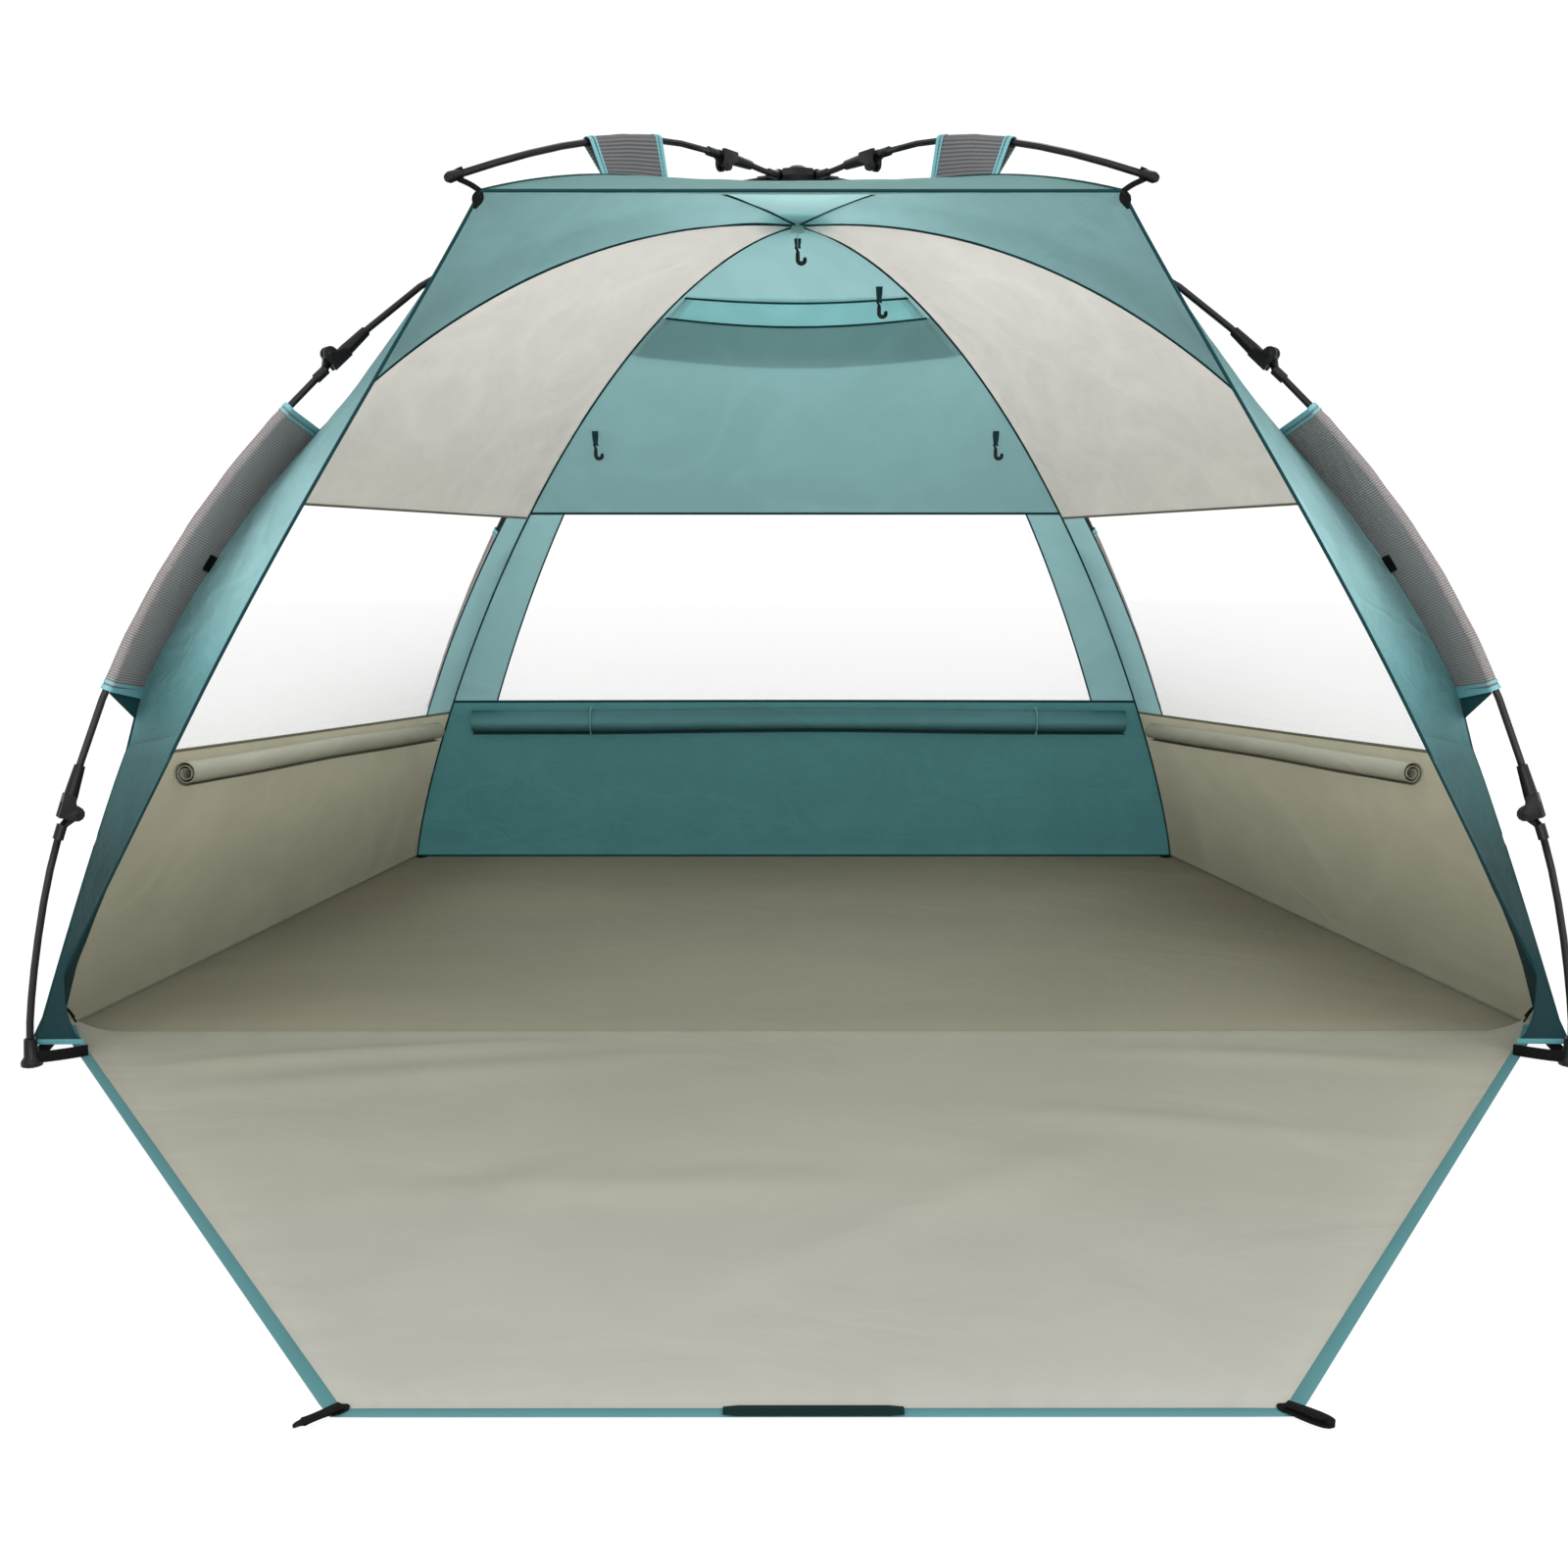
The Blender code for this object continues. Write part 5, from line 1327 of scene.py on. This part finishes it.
class BEACHTENT_OT_bindings(bpy.types.Operator):
    """Sews the tapes over the seams and round the openings"""

    bl_idname = "beachtent.bindings"
    bl_label = "Bindings"

    def side_seams(self, side, name):
        sweep = [CROWN_SHARE + (1 - CROWN_SHARE) * math.sin(math.pi / 2 * s) for s in spread(0, 1, 70)]
        for end, seam in (("front", front_seam), ("back", back_seam)):
            points = [seam(side, s) for s in sweep]
            binding(f"{end}_seam_binding_{name}", [Vector((p.x, p.y, max(p.z, 0.003))) for p in points])
        binding(f"hood_seam_binding_{name}", [hood_seam(side, s) for s in spread(CROWN_SHARE, 1, 30)])
        edge = [hood_edge(side, s) for s in spread(0, 1, 48)]
        binding(f"hood_edge_binding_{name}", edge, EDGE_BINDING, "edge_binding")

    def side_openings(self, side, name):
        place = partial(side_wall_point, side)
        for label, level, radius in (("top", SIDE_WINDOW_TOP, WINDOW_BINDING), ("sill", SIDE_SILL, EDGE_BINDING)):
            points = [place(s, level) for s in spread(0, 1, 40)]
            binding(f"side_window_{label}_binding_{name}", points, radius, "sand_binding")
        for label, share in zip(("front", "back"), SIDE_WINDOW_SHARES):
            points = [place(share, h) for h in spread(SIDE_SILL, SIDE_WINDOW_TOP, 16)]
            binding(f"side_window_{label}_binding_{name}", points, NARROW_BINDING)
        front = Vector((side * FLOOR_FRONT_HALF, -THRESHOLD_AHEAD, SEAM_HEIGHT))
        back = Vector((side * FLOOR_BACK_HALF, FLOOR_BACK_BEHIND, SEAM_HEIGHT))
        binding(f"side_floor_binding_{name}", straight(front, back, 20), look="sand_binding")

    def execute(self, context):
        for side, name in SIDES:
            self.side_seams(side, name)
            self.side_openings(side, name)
        binding("hood_front_binding", straight(hood_seam(-1, 1), hood_seam(1, 1), 30), EDGE_BINDING)
        for label, height in (("top", WINDOW_TOP), ("sill", BACK_SILL)):
            binding(f"back_window_{label}_binding", [back_wall_point(s, height) for s in spread(0, 1, 40)])
        for label, height in (("top", VENT_TOP), ("bottom", VENT_BOTTOM)):
            binding(f"vent_{label}_binding", [vent_point(s, height) for s in spread(0.02, 0.98, 40)], WINDOW_BINDING)
        for label, share in zip(("left", "right"), BACK_WINDOW_SHARES):
            points = [back_wall_point(share, h) for h in spread(BACK_SILL, WINDOW_TOP, 16)]
            binding(f"back_window_{label}_binding", points, NARROW_BINDING)
        across = spread(-FLOOR_BACK_HALF, FLOOR_BACK_HALF, 20)
        binding("back_floor_binding", [Vector((x, FLOOR_BACK_BEHIND, SEAM_HEIGHT)) for x in across])
        return {"FINISHED"}


def loosened(node, title, angle):
    """A node's surface as one welded mesh, smooth where it turns by less than an angle."""
    bm = bmesh.new()
    bm.from_mesh(frame["nodes"][node].data)
    bmesh.ops.remove_doubles(bm, verts=bm.verts, dist=0.00002)
    bmesh.ops.dissolve_limit(bm, angle_limit=math.radians(1), verts=bm.verts, edges=bm.edges)
    bmesh.ops.triangulate(bm, faces=[f for f in bm.faces if len(f.verts) > 4])
    return finished_mesh(bm, title, angle)


class BEACHTENT_OT_frame(bpy.types.Operator):
    """Finishes the rods, knuckles, feet, tips and hub"""

    bl_idname = "beachtent.frame"
    bl_label = "Folding frame"

    def rod(self, node, body):
        title = f"{node}_finished"
        piece(title, loosened(node, title, 34), "rod", (node,), body, folds=False)

    def moulding(self, node, body):
        """A knuckle, foot, tip or hub piece with softened edges."""
        title = f"{node}_finished"
        item = piece(title, loosened(node, title, 30), "plastic", (node,), body, folds=False)
        bevel = item.modifiers.new("edges", "BEVEL")
        bevel.width = MOULDED_EDGE
        bevel.segments = 2
        bevel.limit_method = "ANGLE"
        bevel.angle_limit = math.radians(34)

    def execute(self, context):
        for body, nodes in frame["record"]["behaviour"]["bodies"].items():
            for node in nodes:
                if node.endswith("_rod"):
                    self.rod(node, body)
                elif node.endswith(("_socket", "_foot", "_tip")) or node.startswith("hub_"):
                    self.moulding(node, body)
        return {"FINISHED"}


# The wall hooks: the side of the back wall's middle that each tab is sewn near, and the tab's height
WALL_HOOKS = {"left_hook": (-1, 1.008), "right_hook": (1, 1.008), "vent_hook": (1, 1.276)}
WALL_HOOK_INSET = 0.040


class BEACHTENT_OT_hooks(bpy.types.Operator):
    """Hangs the lantern hooks on their webbing loops"""

    bl_idname = "beachtent.hooks"
    bl_label = "Hooks"

    def hook(self, node, pin):
        """A ring, a shank that thickens, and the bend."""
        outline = [(HOOK_RING * math.cos(a), HOOK_RING * math.sin(a)) for a in spread(-0.6, 1.35 * math.pi, 12)]
        outline += [(0, -HOOK_RING * 2.0), (0, -HOOK_RING * 2.8), (0, -HOOK_SHANK * 0.75)]
        for angle in spread(math.pi, math.radians(395), 12):
            outline.append((HOOK_BEND + HOOK_BEND * math.cos(angle), -HOOK_SHANK + HOOK_BEND * math.sin(angle)))
        radii = [*[0.0022] * 13, 0.0030, 0.0038, *[0.0040] * 11, 0.0036, 0.0034, 0.0030]
        points = [pin + Vector((x, 0, z)) for x, z in outline]
        options = {"replaces": (node,), "body": f"{node}_body", "folds": False}
        tube(f"{node}_moulded", "plastic", points, radii, 10, 1.0, Vector((0, 1, 0)), **options)

    def loop(self, node, pin):
        """The webbing through the hook's ring, which hangs from the crown or from a tab on the back wall."""
        top = pin + UP * 0.016
        if node in WALL_HOOKS:
            side, height = WALL_HOOKS[node]
            share = WALL_HOOK_INSET / (2 * back_seam_at(1, height).x)
            top = back_wall_point(share if side < 0 else 1 - share, height)
        points = []
        for t in spread(0, 1, 18):
            at = top.lerp(pin - UP * 0.0009, math.sin(math.pi * t) ** 0.5)
            points.append(Vector((at.x, pin.y + 0.0030 * math.cos(math.pi * t), at.z)))
        radii = [0.0011 - 0.0005 * math.sin(math.pi * t) for t in spread(0, 1, 18)]
        tube(f"{node}_loop", "binding", points, radii, 8, 6.0, Vector((1, 0, 0.001)))

    def execute(self, context):
        ring_out = HOOK_RING + HOOK_WIRE
        for node in ("apex_hook", *WALL_HOOKS):
            low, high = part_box(node)
            pin = Vector((low[0] + ring_out, (low[1] + high[1]) / 2, high[2] - ring_out))
            self.hook(node, pin)
            self.loop(node, pin)
        return {"FINISHED"}


def arc_stations(points, start, end, count):
    """Stations at even steps of length between two lengths along a run: centre and direction."""
    lengths = [0]
    for a, b in zip(points, points[1:]):
        lengths.append(lengths[-1] + (b - a).length)

    def at(length):
        length = max(0, min(lengths[-1], length))
        n = next(n for n in range(len(points) - 1) if length <= lengths[n + 1])
        return points[n].lerp(points[n + 1], (length - lengths[n]) / (lengths[n + 1] - lengths[n]))

    stations = []
    for length in spread(start, end, count):
        along = (at(length + 0.012) - at(length - 0.012)).normalized()
        stations.append((at(length), along))
    return stations


def length_at(points, measure, limit):
    """The length along a run at which a growing measure reaches a limit."""
    total = 0
    for a, b in zip(points, points[1:]):
        if measure(b) >= limit:
            share = max(0, (limit - measure(a)) / (measure(b) - measure(a)))
            return total + (b - a).length * share
        total += (b - a).length
    return total


def depth(point):
    return -point.z


def seam_beside(line, centre, along):
    """The seam's place in the plane across a rod."""
    return min(line, key=lambda p: abs((p - centre).dot(along)) + 0.02 * (p - centre).length)


def slanted_seam(line, centre, along, back):
    """The seam's place a little up the seam, less and less towards the lower end of a sleeve."""
    share = max(0.3, min(1, (centre.z - 0.56) / 0.40))
    return seam_beside(line, centre - along * back * share, along)


def wrapped(stations, line, lift, web, back):
    """Sections of a strip that leaves a seam, goes round the rod and comes back to the seam."""
    sections = []
    for centre, along in stations:
        reach = slanted_seam(line, centre, along, back) - centre
        first = (reach - along * reach.dot(along)).normalized()
        second = along.cross(first).normalized()
        round_rod = SLEEVE_RADIUS + lift
        tangent = math.acos(min(0.99, round_rod / reach.length))
        ring = [
            centre + (first * math.cos(angle) + second * math.sin(angle)) * round_rod
            for angle in spread(tangent, 2 * math.pi - tangent, 12)
        ]
        near = centre + reach * web
        apart = second * (SLEEVE_THICKNESS + lift)
        sections.append(straight(near + apart, ring[0], 6)[:-1] + ring + straight(ring[-1], near - apart, 6)[1:])
    return sections


def sleeve_cloth(name, look, stations, line, back, replaces=(), lift=0.0, web=1.0, pucker=0.35):
    """An open strip wrapped round a rod, both of whose edges are sewn into the seam."""
    sizes = bpy.context.scene.tent_sizes
    sections = wrapped(stations, line, lift, web, back)
    columns, rows = list(range(len(sections[0]))), list(range(len(sections)))
    bm, (width, length, area) = grid_on(columns, rows, lambda column, row: sections[row][column])
    bm.normal_update()
    for v in inside(bm):
        v.co += v.normal * noise.noise(v.co * 31.0) * sizes.pucker * pucker
    thickened(bm, SLEEVE_THICKNESS)
    item = piece(name, finished_mesh(bm, name), look, replaces)
    min(width, length) >= LEAST_SHEET


class BEACHTENT_OT_sleeves(bpy.types.Operator):
    """Sews the air-mesh sleeves that hold the rods, their tapes and tabs, and the crown patch"""

    bl_idname = "beachtent.sleeves"
    bl_label = "Rod sleeves"

    def sewn(self, node, look, run, line, first, last, back):
        """A mesh sleeve between two lengths of a rod's run, with two tapes at each end."""
        count = max(12, steps(last - first))
        sleeve_cloth(f"{node}_mesh", look, arc_stations(run, first, last, count), line, back, (node,))
        near, far = NARROW_TAPE
        tapes = ((first, first + WIDE_TAPE), (first + near, first + far))
        tapes += ((last - WIDE_TAPE, last), (last - far, last - near))
        for number, (start, end) in enumerate(tapes):
            title, stations = f"{node}_tape_{number + 1}", arc_stations(run, start, end, 3)
            sleeve_cloth(title, "trim", stations, line, back, lift=TAPE_LIFT, web=0.985, pucker=0)

    def flap(self, end, name, run, line, last, back):
        """The teal web between a sleeve's lower end and the seam, painted dark as shade."""
        centre, along = arc_stations(run, last, last, 1)[0]
        low_seam = seam_beside(line, centre + along * 0.024, along)
        end_seam = slanted_seam(line, centre, along, back)

        def place(column, row):
            return centre.lerp(end_seam, column).lerp(centre.lerp(low_seam, column), row)

        columns, carriers = spread(0.12, 1, 8), [f"{end}_{name}_sleeve_mesh"]
        panel(f"{end}_{name}_sleeve_flap", "flare", columns, spread(0, 1, 6), place, carriers, pucker=0)

    def tab(self, name, run, line):
        """The tab across a front sleeve."""
        middle = length_at(run, depth, -SLEEVE_TAB_HEIGHT)
        centre, along = arc_stations(run, middle, middle, 1)[0]
        seam_place = slanted_seam(line, centre, along, SLEEVE_SLANT)
        inward = (centre - seam_place).normalized()
        facing = along.cross(inward).normalized()
        if facing.y > 0:
            facing.negate()
        points = [seam_place + inward * s + facing * 0.0032 for s in spread(-0.004, 0.036, 5)]
        strap(f"front_{name}_sleeve_tab", "black_webbing", points, 0.028, 0.0020, facing)

    def execute(self, context):
        legs = {
            "front": (FRONT_FOOT, FRONT_POLE_SHARES, front_seam, FRONT_SLEEVE_HEIGHTS, SLEEVE_SLANT),
            "back": (BACK_FOOT, BACK_POLE_SHARES, back_seam, BACK_SLEEVE_HEIGHTS, 0.0),
        }
        for end, (foot, shares, seam, heights, back) in legs.items():
            for side, name in SIDES:
                run = middle_rod_path((side * foot[0], foot[1]), shares)
                line = [seam(side, s) for s in spread(0.3, 1, 500)]
                first, last = (length_at(run, depth, -height) for height in heights)
                self.sewn(f"{end}_{name}_sleeve", "sleeve", run, line, first, last, back)
                self.flap(end, name, run, line, last, back)
                if end == "front":
                    self.tab(name, run, line)
        for side, name in SIDES:
            run = awning_rod_path(side)
            line = [hood_seam(side, s) for s in spread(0.05, 1, 400)]
            limits = [share * HOOD_CORNER_AHEAD for share in AWNING_SLEEVE_SHARES]
            first, last = (length_at(run, lambda p: -p.y, limit) for limit in limits)
            self.sewn(f"awning_{name}_sleeve", "awning_sleeve", run, line, first, last, 0.0)
        title = "crown_patch_cloth"
        piece(title, loosened("crown_patch", title, 30), "roof", ("crown_patch",))
        return {"FINISHED"}


def lamp(name, place, target, size, power):
    data = bpy.data.lights.new(name, "AREA")
    data.shape = "DISK"
    data.size = size
    data.energy = power
    item = bpy.data.objects.new(name, data)
    bpy.context.collection.objects.link(item)
    item.location = place
    item.rotation_mode = "QUATERNION"
    item.rotation_quaternion = (Vector(target) - Vector(place)).to_track_quat("-Z", "Y")


def seen_share(tree):
    """1 for what the camera, a reflection or glass sees of a surface, and 0 for the light that it gives."""
    path = tree.nodes.new("ShaderNodeLightPath")
    total = path.outputs["Is Camera Ray"]
    for name in ("Is Glossy Ray", "Is Transmission Ray"):
        node = tree.nodes.new("ShaderNodeMath")
        node.operation = "ADD"
        node.use_clamp = True
        tree.links.new(total, node.inputs[0])
        tree.links.new(path.outputs[name], node.inputs[1])
        total = node.outputs[0]
    return total


STUDIO_HALF = 14
STUDIO_HEIGHT = -0.0004
STUDIO_WHITE = 1.06
CAMERA_PLACE = (-0.029, -3.2, 0.818)
CAMERA_TURN = (math.radians(81), 0, -0.0012)
CAMERA_LENS = 38.08


class BEACHTENT_OT_stage(bpy.types.Operator):
    """Sets the pale floor, the soft light and the camera"""

    bl_idname = "beachtent.stage"
    bl_label = "Stage"

    def studio_floor(self, scene):
        finish = Finish("studio_floor")
        seen = Signal(finish, seen_share(finish.tree))
        plain = finish.surface((0.90, 0.90, 0.90), 0.9, 0.1)
        white = finish.add("ShaderNodeEmission", {}, {"Color": (1, 1, 1), "Strength": STUDIO_WHITE})
        material = finish.close(finish.mixed(seen * 0.86, plain, white))
        bm = bmesh.new()
        bmesh.ops.create_grid(bm, x_segments=1, y_segments=1, size=STUDIO_HALF)
        data = bpy.data.meshes.new("studio_floor")
        bm.to_mesh(data)
        bm.free()
        data.materials.append(material)
        item = bpy.data.objects.new("studio_floor", data)
        scene.collection.objects.link(item)
        item.location = (0, 0, STUDIO_HEIGHT)

    def surroundings(self, scene):
        """An even light, which the camera sees as white."""
        world = bpy.data.worlds.new("studio")
        scene.world = world
        world.use_nodes = True
        tree = world.node_tree
        tree.nodes.clear()
        output = tree.nodes.new("ShaderNodeOutputWorld")
        mix = tree.nodes.new("ShaderNodeMixShader")
        tree.links.new(seen_share(tree), mix.inputs[0])
        for number, strength in enumerate((scene.tent_stage.sky, STUDIO_WHITE)):
            background = tree.nodes.new("ShaderNodeBackground")
            background.inputs["Color"].default_value = (1, 1, 1, 1)
            background.inputs["Strength"].default_value = strength
            tree.links.new(background.outputs[0], mix.inputs[number + 1])
        tree.links.new(mix.outputs[0], output.inputs[0])

    def camera(self, scene):
        data = bpy.data.cameras.new("camera")
        data.lens = CAMERA_LENS
        data.sensor_width = 36
        data.clip_start = 0.05
        data.clip_end = 100
        item = bpy.data.objects.new("camera", data)
        scene.collection.objects.link(item)
        item.location = CAMERA_PLACE
        item.rotation_euler = CAMERA_TURN
        scene.camera = item

    def execute(self, context):
        scene = context.scene
        options = scene.tent_stage
        self.studio_floor(scene)
        self.surroundings(scene)
        lamp("key", (-2.2, -3.0, 4.2), (0, 0, 0.5), 2.4, options.key_power)
        lamp("fill", (2.8, -2.6, 3.0), (0, 0, 0.5), 2.4, options.fill_power)
        lamp("back", (0.5, 3.6, 3.8), (0, 0, 0.6), 2.6, options.back_power)
        lamp("front", (0, -4.2, 1.1), (0, 0.3, 0.75), 3.0, options.front_power)
        self.camera(scene)
        scene.view_settings.view_transform = "Standard"
        return {"FINISHED"}


OPERATORS = (
    BEACHTENT_OT_walls,
    BEACHTENT_OT_hood,
    BEACHTENT_OT_windows,
    BEACHTENT_OT_flaps,
    BEACHTENT_OT_ground,
    BEACHTENT_OT_bindings,
    BEACHTENT_OT_sleeves,
    BEACHTENT_OT_hooks,
    BEACHTENT_OT_frame,
    BEACHTENT_OT_stage,
)


class BEACHTENT_PT_panel(bpy.types.Panel):
    """Lists the tent's operators and settings"""

    bl_label = "Beach Tent"
    bl_idname = "BEACHTENT_PT_panel"
    bl_space_type = "VIEW_3D"
    bl_region_type = "UI"
    bl_category = "Beach Tent"

    def draw(self, context):
        column = self.layout.column()
        for group in (context.scene.tent_cloth, context.scene.tent_sizes, context.scene.tent_stage):
            for name in group.__annotations__:
                column.prop(group, name)
        for operator in OPERATORS:
            column.operator(operator.bl_idname)


GROUPS = (TentCloth, TentSizes, TentStage)
CLASSES = (*GROUPS, *OPERATORS, BEACHTENT_PT_panel)


def register():
    for item in CLASSES:
        bpy.utils.register_class(item)
    bpy.types.Scene.tent_cloth = PointerProperty(type=TentCloth)
    bpy.types.Scene.tent_sizes = PointerProperty(type=TentSizes)
    bpy.types.Scene.tent_stage = PointerProperty(type=TentStage)


def unregister():
    del bpy.types.Scene.tent_stage
    del bpy.types.Scene.tent_sizes
    del bpy.types.Scene.tent_cloth
    for item in reversed(CLASSES):
        bpy.utils.unregister_class(item)


def main():
    register()
    bpy.ops.beachtent.walls()
    bpy.ops.beachtent.hood()
    bpy.ops.beachtent.windows()
    bpy.ops.beachtent.flaps()
    bpy.ops.beachtent.ground()
    bpy.ops.beachtent.bindings()
    bpy.ops.beachtent.sleeves()
    bpy.ops.beachtent.hooks()
    bpy.ops.beachtent.frame()
    bpy.ops.beachtent.stage()


if __name__ == "__main__":
    main()
